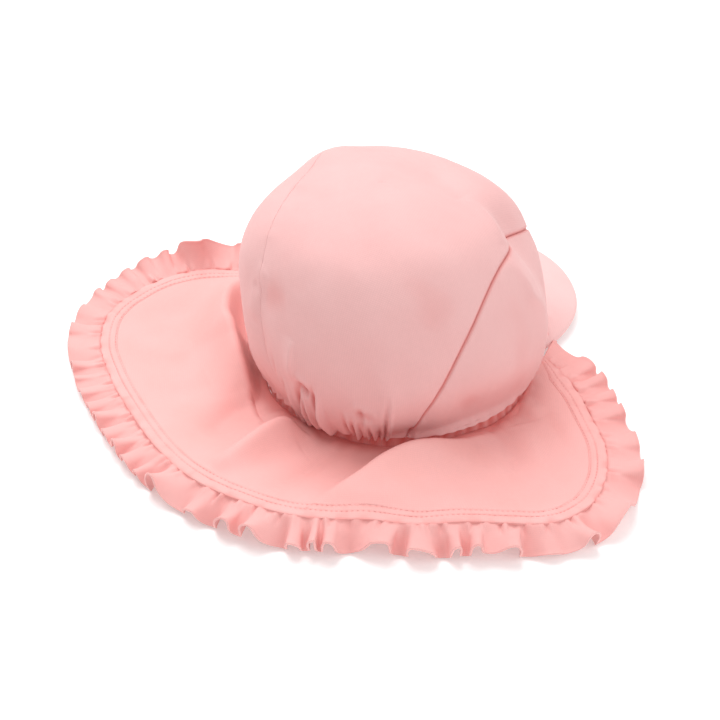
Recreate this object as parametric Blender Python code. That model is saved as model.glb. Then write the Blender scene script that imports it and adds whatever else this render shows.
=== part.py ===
"""Baby swim cap with a stiff peak, a wide neck flap and a gathered ruffle, lying open on a floor.

One closed solid for each sewn piece. Units are metres and +Z is up. The peak points to -Y, the neck
flap to +Y, and the wearer's left is +X. Angles in the tables are in degrees round the head opening,
0 at the nape, 180 at the forehead, positive towards the wearer's right (-X).
"""

import math

import bmesh
import bpy
import numpy as np

# Driving sizes
RIM_WIDTH = 0.140
RIM_BACK = 0.068
RIM_FRONT = 0.087
CROWN_WIDTH = 0.164
CROWN_BACK = 0.084
CROWN_FRONT = 0.082
CROWN_HEIGHT = 0.121
CROWN_LEAN_LEFT = 0.007
CROWN_LEAN_BACK = 0.008
PEAK_LENGTH = 0.055
PEAK_ROOT = 0.018
PEAK_EDGE = 0.011
PEAK_ARCH = 0.0045
FLAP_REACH = 0.168
HEM_WIDTH = 0.0095
HEM_LIFT = 0.013
FOLD_HEIGHT = 0.016
FLAP_ROOT = 0.0030
RUFFLE_WIDTH = 0.018
CASING_HEIGHT = 0.010
BAND_HEIGHT = 0.044
BAND_LEAN = 0.008

# Cloth
WALL = 0.0015
HEM_WALL = 0.0020
CASING_WALL = 0.0022
PEAK_WALL = 0.0026
GAP = 0.0003
GATHER_DEPTH = 0.0008
UNDER_CROWN = 0.0070
SEAM_DIP = 0.0012
SEAM_DIP_WIDTH = 0.0050
RUFFLE_WAVE = 0.0056
RUFFLE_CLEAR = 0.0004
CASING_BELLY = 0.0008
RUFFLE_STAND = 62.0

# Layout round the head opening
CASING_END = 113.0
BAND_START = 113.4
PEAK_START = 129.0
CASING_GATHERS = 38
STRIP_COLUMNS = 80

# The crown's side profile, from its gathered rim up to the top. up: share of the way from rim to top
# along the cloth. out: share of the crown's half width. high: share of the rise from rim to top.
CROWN_PROFILE = {
    "up": [0.00, 0.05, 0.10, 0.17, 0.25, 0.35, 0.45, 0.55, 0.65, 0.76, 0.88, 1.00],
    "out": [0.870, 0.935, 0.980, 1.000, 1.000, 0.972, 0.918, 0.835, 0.712, 0.515, 0.262, 0.0],
    "high": [0.0, 0.016, 0.082, 0.197, 0.328, 0.486, 0.634, 0.765, 0.869, 0.942, 0.984, 1.0],
}

# Where the two long seams run over the unrolled crown, a disc of radius 1 with the nape at place 1 and
# the forehead at place -1. right, left: how far to that side of the disc's middle each seam lies. The
# soft crown sits a little twisted, so they differ.
CENTRE_PANEL = {
    "place": [-1.0, -0.7, -0.3, 0.0, 0.3, 0.6, 1.0],
    "right": [0.36, 0.37, 0.40, 0.46, 0.525, 0.545, 0.52],
    "left": [0.33, 0.31, 0.27, 0.255, 0.215, 0.26, 0.26],
}

# Puffs and dents of the soft crown. angle, up: where. push: share of CROWN_HEIGHT, in if negative.
# wide: half width in degrees. tall: half height as a share of the rim-to-top length.
CROWN_DENTS = {
    "angle": [-24, -105, -119, 158, 128, -20, 66, 84, 28],
    "up": [0.10, 0.52, 0.70, 0.72, 0.30, 0.45, 0.09, 0.34, 0.05],
    "push": [-0.050, -0.046, 0.050, -0.090, -0.045, -0.014, -0.045, 0.012, -0.024],
    "wide": [24, 28, 24, 52, 32, 16, 34, 24, 8],
    "tall": [0.10, 0.20, 0.10, 0.18, 0.30, 0.06, 0.08, 0.16, 0.07],
}

# The neck flap's outer edge, seen from above. reach: share of FLAP_REACH from the opening's centre.
# lift: height of the edge above the floor, share of HEM_LIFT. stand: how far the ruffle stands up
# there, 0 for lying or hanging, 1 for RUFFLE_STAND.
FLAP_OUTLINE = {
    "angle": [-127, -115, -104, -94, -85, -77, -68, -56, -41, -25, -12, -1, 8, 17, 25, 34, 43,
              51, 59, 67, 76, 86, 95, 107, 117, 127],
    "reach": [0.475, 0.590, 0.745, 0.885, 0.965, 1.000, 0.980, 0.918, 0.868, 0.862, 0.868, 0.862,
              0.858, 0.836, 0.812, 0.838, 0.845, 0.882, 0.925, 0.915, 0.855, 0.765, 0.675, 0.590,
              0.530, 0.475],
    "lift": [0.28, 0.40, 0.55, 0.55, 0.40, 0.25, 0.22, 0.30, 0.50, 0.72, 0.85, 0.95, 1.0, 1.0,
             0.92, 1.0, 1.0, 0.95, 0.85, 0.70, 0.55, 0.42, 0.32, 0.28, 0.25, 0.25],
    "stand": [0.0, 0.3, 0.95, 1.0, 0.55, 0.10, 0.0, 0.0, 0.0, 0.0, 0.0, 0.0, 0.0, 0.0,
              0.0, 0.0, 0.0, 0.0, 0.0, 0.0, 0.0, 0.0, 0.1, 0.15, 0.1, 0.0],
}

# Folds of the flap, each along a path of angle and reach (share of FLAP_REACH), with its height as a
# share of FOLD_HEIGHT at each point. left, right: its half widths to either side of the path, looking
# along it, as shares of FLAP_REACH.
FLAP_FOLDS = [
    {
        "angle": [74, 58, 43, 29, 21, 14],
        "reach": [0.47, 0.46, 0.50, 0.565, 0.66, 0.77],
        "height": [0.05, 0.45, 0.80, 0.80, 0.50, 0.10],
        "left": 0.120,
        "right": 0.045,
    },
    {
        "angle": [-8, -11, -11, -11, -12],
        "reach": [0.47, 0.52, 0.61, 0.72, 0.80],
        "height": [0.30, 0.60, 0.65, 0.45, 0.10],
        "left": 0.060,
        "right": 0.060,
    },
    {
        "angle": [-95, -74, -58, -44, -32, -22],
        "reach": [0.64, 0.585, 0.55, 0.53, 0.52, 0.50],
        "height": [0.25, 0.80, 0.90, 0.85, 0.60, 0.30],
        "left": 0.060,
        "right": 0.080,
    },
]

# Where the ruffle's pleats have their crests, as shares of its length from the wearer's left temple.
PLEAT_CRESTS = [
    -0.010, 0.012, 0.033, 0.055, 0.078, 0.126, 0.1605, 0.1765, 0.190, 0.2035, 0.2205, 0.241, 0.262,
    0.281, 0.302, 0.3225, 0.345, 0.370, 0.3905, 0.411, 0.432, 0.4495, 0.479, 0.507, 0.529, 0.562,
    0.5785, 0.592, 0.606, 0.648, 0.668, 0.688, 0.7085, 0.7365, 0.757, 0.7775, 0.8065, 0.8365, 0.8675,
    0.890, 0.9135, 0.9435, 0.9615, 0.981, 1.004,
]

# Soft pink swim fabric, sRGB from 0 to 1
CROWN_PINK = (0.965, 0.725, 0.720)
FLAP_PINK = (0.955, 0.650, 0.645)
TRIM_PINK = (0.950, 0.635, 0.630)


def clear_scene():
    """Removes every object that the startup scene holds."""
    for obj in list(bpy.data.objects):
        bpy.data.objects.remove(obj)


def linear(rgb):
    """An sRGB colour as the linear values that a shader takes."""
    return tuple(c / 12.92 if c <= 0.04045 else ((c + 0.055) / 1.055) ** 2.4 for c in rgb)


def fabric(name, rgb):
    """A matt knitted cloth for the piece of that name."""
    material = bpy.data.materials.new(name)
    material.use_nodes = True
    shader = material.node_tree.nodes["Principled BSDF"]
    shader.inputs["Base Color"].default_value = (*linear(rgb), 1.0)
    shader.inputs["Roughness"].default_value = 0.85
    shader.inputs["Sheen Weight"].default_value = 0.25
    return material


def smooth(x, xs, ys):
    """Cubic interpolation through a table, with no overshoot past its ends."""
    xs = np.asarray(xs, float)
    ys = np.asarray(ys, float)
    slope = np.gradient(ys, xs)
    x = np.clip(x, xs[0], xs[-1])
    i = np.clip(np.searchsorted(xs, x, side="right") - 1, 0, len(xs) - 2)
    step = xs[i + 1] - xs[i]
    f = (x - xs[i]) / step
    return (
        (1 + 2 * f) * (1 - f) ** 2 * ys[i]
        + f * (1 - f) ** 2 * step * slope[i]
        + f * f * (3 - 2 * f) * ys[i + 1]
        + f * f * (f - 1) * step * slope[i + 1]
    )


def ease(x, low, high):
    """Goes smoothly from 0 at low to 1 at high."""
    f = np.clip((x - low) / (high - low), 0, 1)
    return f * f * (3 - 2 * f)


def around(angle, radius, height):
    """Points at that angle round the opening, in degrees from the nape."""
    turn = np.radians(angle)
    return np.stack(
        np.broadcast_arrays(-radius * np.sin(turn), radius * np.cos(turn), height), axis=-1
    )


def oval(angle, width, back, front):
    """Radius at that angle of an oval of that width that reaches that far back and forward."""
    turn = np.radians(angle)
    length = np.where(np.cos(turn) > 0, back, front)
    return 1 / np.hypot(np.sin(turn) / (width / 2), np.cos(turn) / length)


def rim_radius(angle):
    return oval(angle, RIM_WIDTH, RIM_BACK, RIM_FRONT)


def bulge_radius(angle):
    return oval(angle, CROWN_WIDTH, CROWN_BACK, CROWN_FRONT)


def front_share(angle):
    """0 where the crown stands on the casing behind, 1 where it stands on the tall band in front."""
    return ease(180 - np.abs((angle % 360) - 180), BAND_START - 10.0, 158.0)


def rim_height(angle):
    """Height of the crown's lower edge."""
    return CASING_HEIGHT + GAP + (BAND_HEIGHT - CASING_HEIGHT) * front_share(angle)


def band_radius(angle, height):
    """Radius of the front band's outer face, which leans back over the forehead."""
    return rim_radius(angle) - BAND_LEAN * front_share(angle) * height / rim_height(angle)


def seam_place(q, side):
    """How far out the long seam of that side lies at front-to-back place q. side: 1 right, -1 left."""
    column = "right" if side > 0 else "left"
    return side * smooth(q, CENTRE_PANEL["place"], CENTRE_PANEL[column])


def across_panel(q, share):
    """Place across the centre panel. share: 0 at its left seam, 1 at its right seam."""
    left = seam_place(q, -1) + GAP / CROWN_WIDTH
    right = seam_place(q, 1) - GAP / CROWN_WIDTH
    return left + (right - left) * share


def meet_rim(curve, end):
    """The q at which a curve p(q) meets the rim, at the nape for end 1 or the forehead for end -1."""
    q = end * 0.9
    for _ in range(30):
        q = end * np.sqrt(1 - curve(q) ** 2)
    return q


def crown_point(p, q):
    """The crown's outer face. p, q: place in a unit disc, its edge the rim and its centre the top."""
    angle = np.degrees(np.arctan2(p, q))
    up = 1 - np.hypot(p, q)
    out = smooth(up, CROWN_PROFILE["up"], CROWN_PROFILE["out"])
    rim = rim_height(angle)
    high = rim + smooth(up, CROWN_PROFILE["up"], CROWN_PROFILE["high"]) * (CROWN_HEIGHT - rim)
    # The lowest part of the profile runs from the bulge into the rim, wherever that is.
    near_rim = 1 - ease(up, 0.0, 0.17)
    bulge = bulge_radius(angle)
    edge = band_radius(angle, rim)
    radius = bulge * out + near_rim * (edge - bulge * CROWN_PROFILE["out"][0])
    push = np.zeros_like(radius)
    for a, u, amount, wide, tall in zip(*CROWN_DENTS.values()):
        turn = (angle - a + 180) % 360 - 180
        push += amount * CROWN_HEIGHT * np.exp(-((turn / wide) ** 2) - ((up - u) / tall) ** 2)
    for side in (-1, 1):
        seam = (p - seam_place(q, side)) * CROWN_WIDTH / 2
        push -= SEAM_DIP * np.exp(-((seam / SEAM_DIP_WIDTH) ** 2))
    push *= ease(up, 0.0, 0.08)
    # Pushes act sideways low down and upwards at the top.
    top = ease(up, 0.45, 0.95)
    lean = ease(up, 0.05, 0.75)[..., None] * np.array([CROWN_LEAN_LEFT, CROWN_LEAN_BACK, 0.0])
    return around(angle, radius + push * (1 - top), high + push * top) + lean


def crown_normal(p, q):
    """Unit normals of the crown's outer face, from small steps either way."""
    step = 0.004
    across = crown_point(p + step, q) - crown_point(p - step, q)
    back = crown_point(p, q + step) - crown_point(p, q - step)
    normal = np.cross(back, across)
    return normal / np.linalg.norm(normal, axis=-1, keepdims=True)


def solid(name, outer, inner, rgb):
    """A closed cloth wall between two grids of points, as one object."""
    rows, columns = outer.shape[:2]
    points = np.concatenate([outer.reshape(-1, 3), inner.reshape(-1, 3)])
    index = np.arange(rows * columns).reshape(rows, columns)
    below = index + rows * columns
    faces = []

    def strip(a, b):
        for i in range(len(a) - 1):
            faces.append((a[i], a[i + 1], b[i + 1], b[i]))

    for r in range(rows - 1):
        strip(index[r], index[r + 1])
        strip(below[r + 1], below[r])
    strip(below[0], index[0])
    strip(index[-1], below[-1])
    strip(index[:, 0], below[:, 0])
    strip(below[:, -1], index[:, -1])
    mesh = bpy.data.meshes.new(name)
    mesh.from_pydata([tuple(p) for p in points.tolist()], [], [tuple(map(int, f)) for f in faces])
    shape = bmesh.new()
    shape.from_mesh(mesh)
    bmesh.ops.remove_doubles(shape, verts=shape.verts, dist=1e-6)
    bmesh.ops.triangulate(shape, faces=shape.faces)
    bmesh.ops.recalc_face_normals(shape, faces=shape.faces)
    shape.to_mesh(mesh)
    shape.free()
    obj = bpy.data.objects.new(name, mesh)
    mesh.materials.append(fabric(name, rgb))
    bpy.context.scene.collection.objects.link(obj)
    return obj


def crown_wall(name, p, q):
    """A crown panel over that grid of the unrolled crown."""
    outer = crown_point(p, q)
    return solid(name, outer, outer - WALL * crown_normal(p, q), CROWN_PINK)


def centre_panel():
    """The strip from the nape over the top to the forehead."""
    along, share = np.meshgrid(np.linspace(0, 1, 27), np.linspace(0, 1, 12), indexing="ij")
    nape = meet_rim(lambda q: across_panel(q, share), 1)
    forehead = meet_rim(lambda q: across_panel(q, share), -1)
    q = nape + (forehead - nape) * along
    return crown_wall("crown_centre_panel", across_panel(q, share), q)


def side_panel(name, side):
    """A side panel, between the long seam and the rim. side: 1 for the wearer's right, -1 left."""
    along, down = np.meshgrid(np.linspace(0, 1, 27), np.linspace(0, 1, 10), indexing="ij")
    gap = side * GAP / CROWN_WIDTH
    nape = meet_rim(lambda q: seam_place(q, side) + gap, 1)
    forehead = meet_rim(lambda q: seam_place(q, side) + gap, -1)
    seam_q = nape + (forehead - nape) * along
    seam_p = seam_place(seam_q, side) + gap
    turn = np.arccos(nape) + along * (np.arccos(forehead) - np.arccos(nape))
    p = seam_p + (side * np.sin(turn) - seam_p) * down
    q = seam_q + (np.cos(turn) - seam_q) * down
    over = np.maximum(np.hypot(p, q), 1.0)
    return crown_wall(name, p / over, q / over)


def casing():
    """The gathered elastic casing under the crown, from temple to temple round the nape."""
    angle = np.linspace(-CASING_END, CASING_END, 2 * CASING_GATHERS + 1)
    gather = GATHER_DEPTH * (np.arange(len(angle)) % 2)
    share = np.array([[0.0], [0.5], [1.0]])
    belly = CASING_BELLY * np.array([[0.0], [1.0], [0.0]])
    radius = rim_radius(angle)[None] + gather[None] * np.array([[0.4], [1.0], [0.6]]) - belly
    outer = around(angle[None], radius, share * CASING_HEIGHT)
    inner = around(angle[None], radius - CASING_WALL, share * CASING_HEIGHT)
    return solid("elastic_casing", outer, inner, TRIM_PINK)


def front_band():
    """The plain band over the forehead that the peak is sewn to."""
    angle = np.linspace(BAND_START, 360 - BAND_START, 33)
    height = np.array([[0.0], [0.5], [1.0]]) * (rim_height(angle) - GAP)
    radius = band_radius(angle, height)
    outer = around(angle[None], radius, height)
    inner = around(angle[None], radius - CASING_WALL, height)
    return solid("front_band", outer, inner, CROWN_PINK)


def peak_surface(angle, out):
    """The peak's upper face. angle: 180 straight ahead. out: 0 at the band, 1 at the free edge."""
    half = 180 - PEAK_START
    side = (angle - 180) / half
    reach = PEAK_LENGTH * (1 - np.abs(side) ** 2.2) ** 0.75
    high_root = PEAK_ROOT * (1 - 0.61 * side**2)
    high_edge = PEAK_EDGE * (1 - 0.55 * side**2)
    arch = PEAK_ARCH * np.sin(math.pi * out) * (1 - side**2)
    root = band_radius(angle, high_root - PEAK_WALL) + GAP
    height = high_root + (high_edge - high_root) * out + arch
    return around(angle, root + reach * out, height)


def peak():
    """The stiff crescent peak, from temple to temple."""
    angle, out = np.meshgrid(
        np.linspace(PEAK_START + 0.8, 359.2 - PEAK_START, 29), np.linspace(0, 1, 6), indexing="ij"
    )
    top = peak_surface(angle, out)
    return solid("peak", top, top - [0, 0, PEAK_WALL], CROWN_PINK)


def flap_edge(count):
    """The flap's outer edge: plan points, outward directions, heights, and the ruffle's stand."""
    angle = np.linspace(FLAP_OUTLINE["angle"][0], FLAP_OUTLINE["angle"][-1], 800)
    reach = smooth(angle, FLAP_OUTLINE["angle"], FLAP_OUTLINE["reach"]) * FLAP_REACH
    plan = around(angle, reach, 0.0)[:, :2]
    length = np.append(0, np.cumsum(np.linalg.norm(np.diff(plan, axis=0), axis=1)))
    share = length / length[-1]
    wanted = np.linspace(0, 1, count) if np.isscalar(count) else count
    at = np.interp(wanted, share, angle)
    reach = smooth(at, FLAP_OUTLINE["angle"], FLAP_OUTLINE["reach"]) * FLAP_REACH
    edge = around(at, reach, 0.0)[:, :2]
    before = around(at - 0.6, smooth(at - 0.6, *list(FLAP_OUTLINE.values())[:2]) * FLAP_REACH, 0.0)
    after = around(at + 0.6, smooth(at + 0.6, *list(FLAP_OUTLINE.values())[:2]) * FLAP_REACH, 0.0)
    way = (after - before)[:, :2]
    outward = np.stack([-way[:, 1], way[:, 0]], axis=1)
    outward /= np.linalg.norm(outward, axis=1, keepdims=True)
    outward *= np.sign((outward * edge).sum(axis=1, keepdims=True))
    lift = smooth(at, FLAP_OUTLINE["angle"], FLAP_OUTLINE["lift"]) * HEM_LIFT
    stand = smooth(at, FLAP_OUTLINE["angle"], FLAP_OUTLINE["stand"])
    return edge, outward, lift, stand


def flap_root(share):
    """The flap's inner edge along the casing, as plan points."""
    angle = np.interp(share, [0, 1], [-CASING_END, CASING_END])
    return around(angle, rim_radius(angle) + GATHER_DEPTH + GAP, 0.0)[..., :2]


def hem_widths(edge):
    """Hem width along the edge, narrower where the flap ends at the temples."""
    angle = np.degrees(np.arctan2(-edge[:, 0], edge[:, 1]))
    room = np.linalg.norm(edge, axis=1) - rim_radius(angle) - GATHER_DEPTH - GAP
    return np.minimum(HEM_WIDTH, 0.55 * room)


def fold_height(plan):
    """Height that the folds add at those plan points."""
    total = np.zeros(plan.shape[:-1])
    for fold in FLAP_FOLDS:
        knots = np.linspace(0, 1, len(fold["angle"]))
        fine = np.linspace(0, 1, 40)
        angle = smooth(fine, knots, fold["angle"])
        line = around(angle, smooth(fine, knots, fold["reach"]) * FLAP_REACH, 0.0)[:, :2]
        height = smooth(fine, knots, fold["height"]) * FOLD_HEIGHT
        away = plan[..., None, :] - line
        distance = np.linalg.norm(away, axis=-1)
        nearest = distance.argmin(axis=-1)
        away = np.take_along_axis(away, nearest[..., None, None], axis=-2)[..., 0, :]
        way = np.gradient(line, axis=0)[nearest]
        left = way[..., 0] * away[..., 1] - way[..., 1] * away[..., 0] > 0
        wide = np.where(left, fold["left"], fold["right"]) * FLAP_REACH
        total += height[nearest] * np.exp(-((distance.min(axis=-1) / wide) ** 2))
    return total


def flap_height(plan, out, lift):
    """Height of the flap's lower face. out: 0 at the casing, 1 at the hem's outer edge."""
    base = FLAP_ROOT + (np.maximum(lift, 3 * RUFFLE_CLEAR) - FLAP_ROOT) * ease(out, 0.0, 1.0)
    height = base + fold_height(plan) * (1 - ease(out, 0.75, 1.0))
    # Close in, the cloth stays under the crown's overhang.
    angle = np.degrees(np.arctan2(-plan[..., 0], plan[..., 1]))
    room = np.linalg.norm(plan, axis=-1) / bulge_radius(angle)
    return np.minimum(height, UNDER_CROWN + 0.17 * np.maximum(room - 0.94, 0))


def sheet_points(plan, out, lift, wall):
    """Lower and upper points of a flat-lying cloth at those plan points."""
    low = np.concatenate([plan, flap_height(plan, out, lift)[..., None]], axis=-1)
    down = np.gradient(low, axis=0)
    across = np.gradient(low, axis=1)
    normal = np.cross(down, across)
    normal *= np.sign(normal[..., 2:])
    normal /= np.linalg.norm(normal, axis=-1, keepdims=True)
    normal[0, :] = normal[:, 0] = normal[-1, :] = normal[:, -1] = 0
    normal[0, :, 2] = normal[:, 0, 2] = normal[-1, :, 2] = normal[:, -1, 2] = 1
    return low, low + wall * normal


def neck_flap():
    """The wide flap, from the casing out to the hem, with its folds."""
    share = np.linspace(0, 1, STRIP_COLUMNS)
    edge, outward, lift, _ = flap_edge(STRIP_COLUMNS)
    width = hem_widths(edge)
    outer = edge - outward * (width + GAP)[:, None]
    root = flap_root(share)
    f = np.linspace(0, 1, 8)[None, :, None]
    plan = root[:, None] + (outer - root)[:, None] * f
    reach = np.linalg.norm(edge - root, axis=1)
    out = f[..., 0] * (1 - (width / reach))[:, None]
    low, high = sheet_points(plan, out, lift[:, None], WALL)
    return solid("neck_flap", high, low, FLAP_PINK)


def hem_band():
    """The stitched hem round the flap's free edge."""
    share = np.linspace(0, 1, STRIP_COLUMNS)
    edge, outward, lift, _ = flap_edge(STRIP_COLUMNS)
    width = hem_widths(edge)
    f = np.linspace(-1, 0, 3)[None, :, None]
    plan = edge[:, None] + outward[:, None] * (f * width[:, None, None])
    reach = np.linalg.norm(edge - flap_root(share), axis=1)
    out = 1 + f[..., 0] * (width / reach)[:, None]
    low, high = sheet_points(plan, out, lift[:, None], HEM_WALL)
    return solid("hem_band", high, low, TRIM_PINK)


def ruffle():
    """The gathered ruffle sewn under the hem's edge: flat or standing at the sides, hanging behind."""
    count = len(PLEAT_CRESTS)
    cycle = np.arange(6 * (count - 1) + 1) / 6
    share = np.clip(np.interp(cycle, np.arange(count), PLEAT_CRESTS), 0, 1)
    inside = np.flatnonzero((share > 0) & (share < 1))
    cycle = cycle[inside[0] - 1 : inside[-1] + 2]
    share = share[inside[0] - 1 : inside[-1] + 2]
    edge, outward, lift, stand = flap_edge(share)
    spread = np.interp(cycle, np.arange(count), np.gradient(PLEAT_CRESTS)) / 0.030
    wave = 0.5 * RUFFLE_WAVE * (1 + np.cos(2 * math.pi * cycle)) * np.clip(spread, 0.6, 1.3)
    width = RUFFLE_WIDTH * (0.8 + 0.2 * ease(np.minimum(share, 1 - share), 0.0, 0.03))
    hang = np.arcsin(np.clip(lift / width, 0, 0.94))
    tilt = hang * (1 - stand) - math.radians(RUFFLE_STAND) * stand
    f = np.array([0.0, 0.45, 1.0])
    swing = wave[:, None] * f**0.8
    out = GAP + (width * np.cos(tilt))[:, None] * f + swing * np.sin(tilt)[:, None]
    height = (lift + RUFFLE_CLEAR)[:, None] - (width * np.sin(tilt))[:, None] * f
    height = height + swing * np.cos(tilt)[:, None]
    plan = edge[:, None] + outward[:, None] * out[..., None]
    low = np.concatenate([plan, height[..., None]], axis=-1)
    across = np.concatenate([outward * np.sin(tilt)[:, None], np.cos(tilt)[:, None]], axis=1)
    thick = WALL * np.array([0.8, 0.8, 0.7])[None, :, None]
    high = low + across[:, None] * thick
    high[:, 0] = low[:, 0] + [0, 0, 0.8 * WALL]
    return solid("ruffle", high, low, TRIM_PINK)


def centre_on_floor(objects):
    """Moves the whole cap so that its box is centred on the origin and stands on z = 0."""
    points = np.array([v.co for obj in objects for v in obj.data.vertices])
    low, high = points.min(axis=0), points.max(axis=0)
    shift = -np.array([(low[0] + high[0]) / 2, (low[1] + high[1]) / 2, low[2]])
    for obj in objects:
        for vertex in obj.data.vertices:
            vertex.co = [a + b for a, b in zip(vertex.co, shift.tolist())]


def build():
    clear_scene()
    pieces = [
        centre_panel(),
        side_panel("crown_side_right", 1),
        side_panel("crown_side_left", -1),
        front_band(),
        peak(),
        casing(),
        neck_flap(),
        hem_band(),
        ruffle(),
    ]
    centre_on_floor(pieces)


build()
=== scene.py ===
"""Looks of a baby swim cap: swim jersey, gathers, stitching, a stiff peak and a gathered ruffle.

Lengths are metres unless a name says otherwise. The cap's own coordinates start in the middle of the head
opening, on the floor, with the peak towards -Y and the wearer's left towards +X. Angles are in degrees
round the opening, 0 at the nape and 180 at the forehead, positive towards the wearer's right (-X).
"""

from __future__ import annotations

import logging
import math
from collections.abc import Callable
from dataclasses import dataclass, field, replace
from enum import Enum

import bmesh
import bpy
import numpy as np
from mathutils import Matrix, Vector

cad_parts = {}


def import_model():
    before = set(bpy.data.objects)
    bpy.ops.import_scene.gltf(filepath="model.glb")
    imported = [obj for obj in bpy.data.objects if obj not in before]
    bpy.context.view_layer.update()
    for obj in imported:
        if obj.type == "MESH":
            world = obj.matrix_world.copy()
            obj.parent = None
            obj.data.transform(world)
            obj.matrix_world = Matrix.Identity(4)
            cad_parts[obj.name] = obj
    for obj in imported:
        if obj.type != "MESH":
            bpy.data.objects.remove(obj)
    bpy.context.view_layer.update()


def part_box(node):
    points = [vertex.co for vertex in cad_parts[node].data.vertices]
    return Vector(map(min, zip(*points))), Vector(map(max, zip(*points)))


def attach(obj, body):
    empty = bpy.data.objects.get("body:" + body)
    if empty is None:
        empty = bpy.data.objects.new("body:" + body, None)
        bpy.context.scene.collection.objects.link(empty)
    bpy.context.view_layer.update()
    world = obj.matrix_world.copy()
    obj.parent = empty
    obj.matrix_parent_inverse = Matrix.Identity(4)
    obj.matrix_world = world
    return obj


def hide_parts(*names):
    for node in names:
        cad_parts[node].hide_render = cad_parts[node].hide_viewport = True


LOG = logging.getLogger("swim_cap")
Array = np.ndarray
UP = np.array([0.0, 0.0, 1.0])
# Cloth that lies on the floor stays this far above it
FLOOR_CLEARANCE = 0.0006
# Points closer than this are one point
WELD_DISTANCE = 1e-7


class Slot(Enum):
    """The record's material slots."""

    CROWN = "crown_fabric"
    PEAK = "peak_fabric"
    FLAP = "flap_fabric"
    TRIM = "trim_fabric"


class Side(Enum):
    """The wearer's sides, as the sign of the crown's place p."""

    RIGHT = 1
    LEFT = -1


def linear(hex_colour: str) -> tuple[float, float, float, float]:
    """Turns an sRGB hex colour into the linear values that a shader takes.

    Args:
        hex_colour: six hex digits.

    Returns:
        Red, green and blue from 0 to 1, and an alpha of 1.
    """
    parts = [int(hex_colour[i : i + 2], 16) / 255 for i in (0, 2, 4)]
    lin = [c / 12.92 if c <= 0.04045 else ((c + 0.055) / 1.055) ** 2.4 for c in parts]
    return (lin[0], lin[1], lin[2], 1.0)


def smooth(x: Array, xs: list, ys: list) -> Array:
    """Interpolates a table with a cubic, with no overshoot past its ends.

    Args:
        x: where to read the table.
        xs: the table's places, rising.
        ys: the table's values.

    Returns:
        The values at x.
    """
    knots, values = np.asarray(xs, float), np.asarray(ys, float)
    slope = np.gradient(values, knots)
    x = np.clip(x, knots[0], knots[-1])
    i = np.clip(np.searchsorted(knots, x, side="right") - 1, 0, len(knots) - 2)
    step = knots[i + 1] - knots[i]
    f = (x - knots[i]) / step
    return (
        (1 + 2 * f) * (1 - f) ** 2 * values[i]
        + f * (1 - f) ** 2 * step * slope[i]
        + f * f * (3 - 2 * f) * values[i + 1]
        + f * f * (f - 1) * step * slope[i + 1]
    )


def ease(x: Array, low: float, high: float) -> Array:
    """Goes smoothly from 0 at low to 1 at high.

    Args:
        x: the values to ease.
        low: where the result leaves 0.
        high: where it reaches 1.

    Returns:
        Values from 0 to 1.
    """
    f = np.clip((x - low) / (high - low), 0, 1)
    return f * f * (3 - 2 * f)


def bell(x: Array, width: float | Array) -> Array:
    """A bump of height 1 at x = 0 with that half width."""
    return np.exp(-((x / width) ** 2))


def above_floor(height: Array, soft: float) -> Array:
    """Heights kept above the floor's clearance, with a bend of that softness."""
    return FLOOR_CLEARANCE + soft * np.logaddexp(0, (height - FLOOR_CLEARANCE) / soft)


def around(angle: Array, radius: Array, height: Array | float) -> Array:
    """Places points round the head opening.

    Args:
        angle: degrees from the nape.
        radius: distance from the opening's centre.
        height: height above the floor.

    Returns:
        The points, with x, y and z on the last axis.
    """
    turn = np.radians(angle)
    return np.stack(
        np.broadcast_arrays(-radius * np.sin(turn), radius * np.cos(turn), height), axis=-1
    )


def angle_of(plan: Array) -> Array:
    """Degrees from the nape of points whose last axis starts with x and y."""
    return np.degrees(np.arctan2(-plan[..., 0], plan[..., 1]))


def oval(angle: Array, width: float, back: float, front: float) -> Array:
    """Radius at that angle of an oval round the opening's centre.

    Args:
        angle: degrees from the nape.
        width: the oval's whole width.
        back: how far it reaches back.
        front: how far it reaches forward.

    Returns:
        The radius at each angle.
    """
    turn = np.radians(angle)
    length = np.where(np.cos(turn) > 0, back, front)
    return 1 / np.hypot(np.sin(turn) / (width / 2), np.cos(turn) / length)


def cloth_noise(x: Array, y: Array, cell: float, seed: int) -> Array:
    """Smooth random unevenness over a surface, the same on each run.

    Args:
        x: first coordinate.
        y: second coordinate.
        cell: size of one swell in the same units.
        seed: seed of the random table.

    Returns:
        Values from -1 to 1.
    """
    table = np.random.default_rng(seed).uniform(-1, 1, (64, 64))
    u, v = x / cell + 23.37, y / cell + 31.71
    i, j = np.floor(u).astype(int), np.floor(v).astype(int)
    f, g = ease(u - i, 0, 1), ease(v - j, 0, 1)
    near = table[i % 64, j % 64] * (1 - f) + table[(i + 1) % 64, j % 64] * f
    far = table[i % 64, (j + 1) % 64] * (1 - f) + table[(i + 1) % 64, (j + 1) % 64] * f
    return near * (1 - g) + far * g


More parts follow.
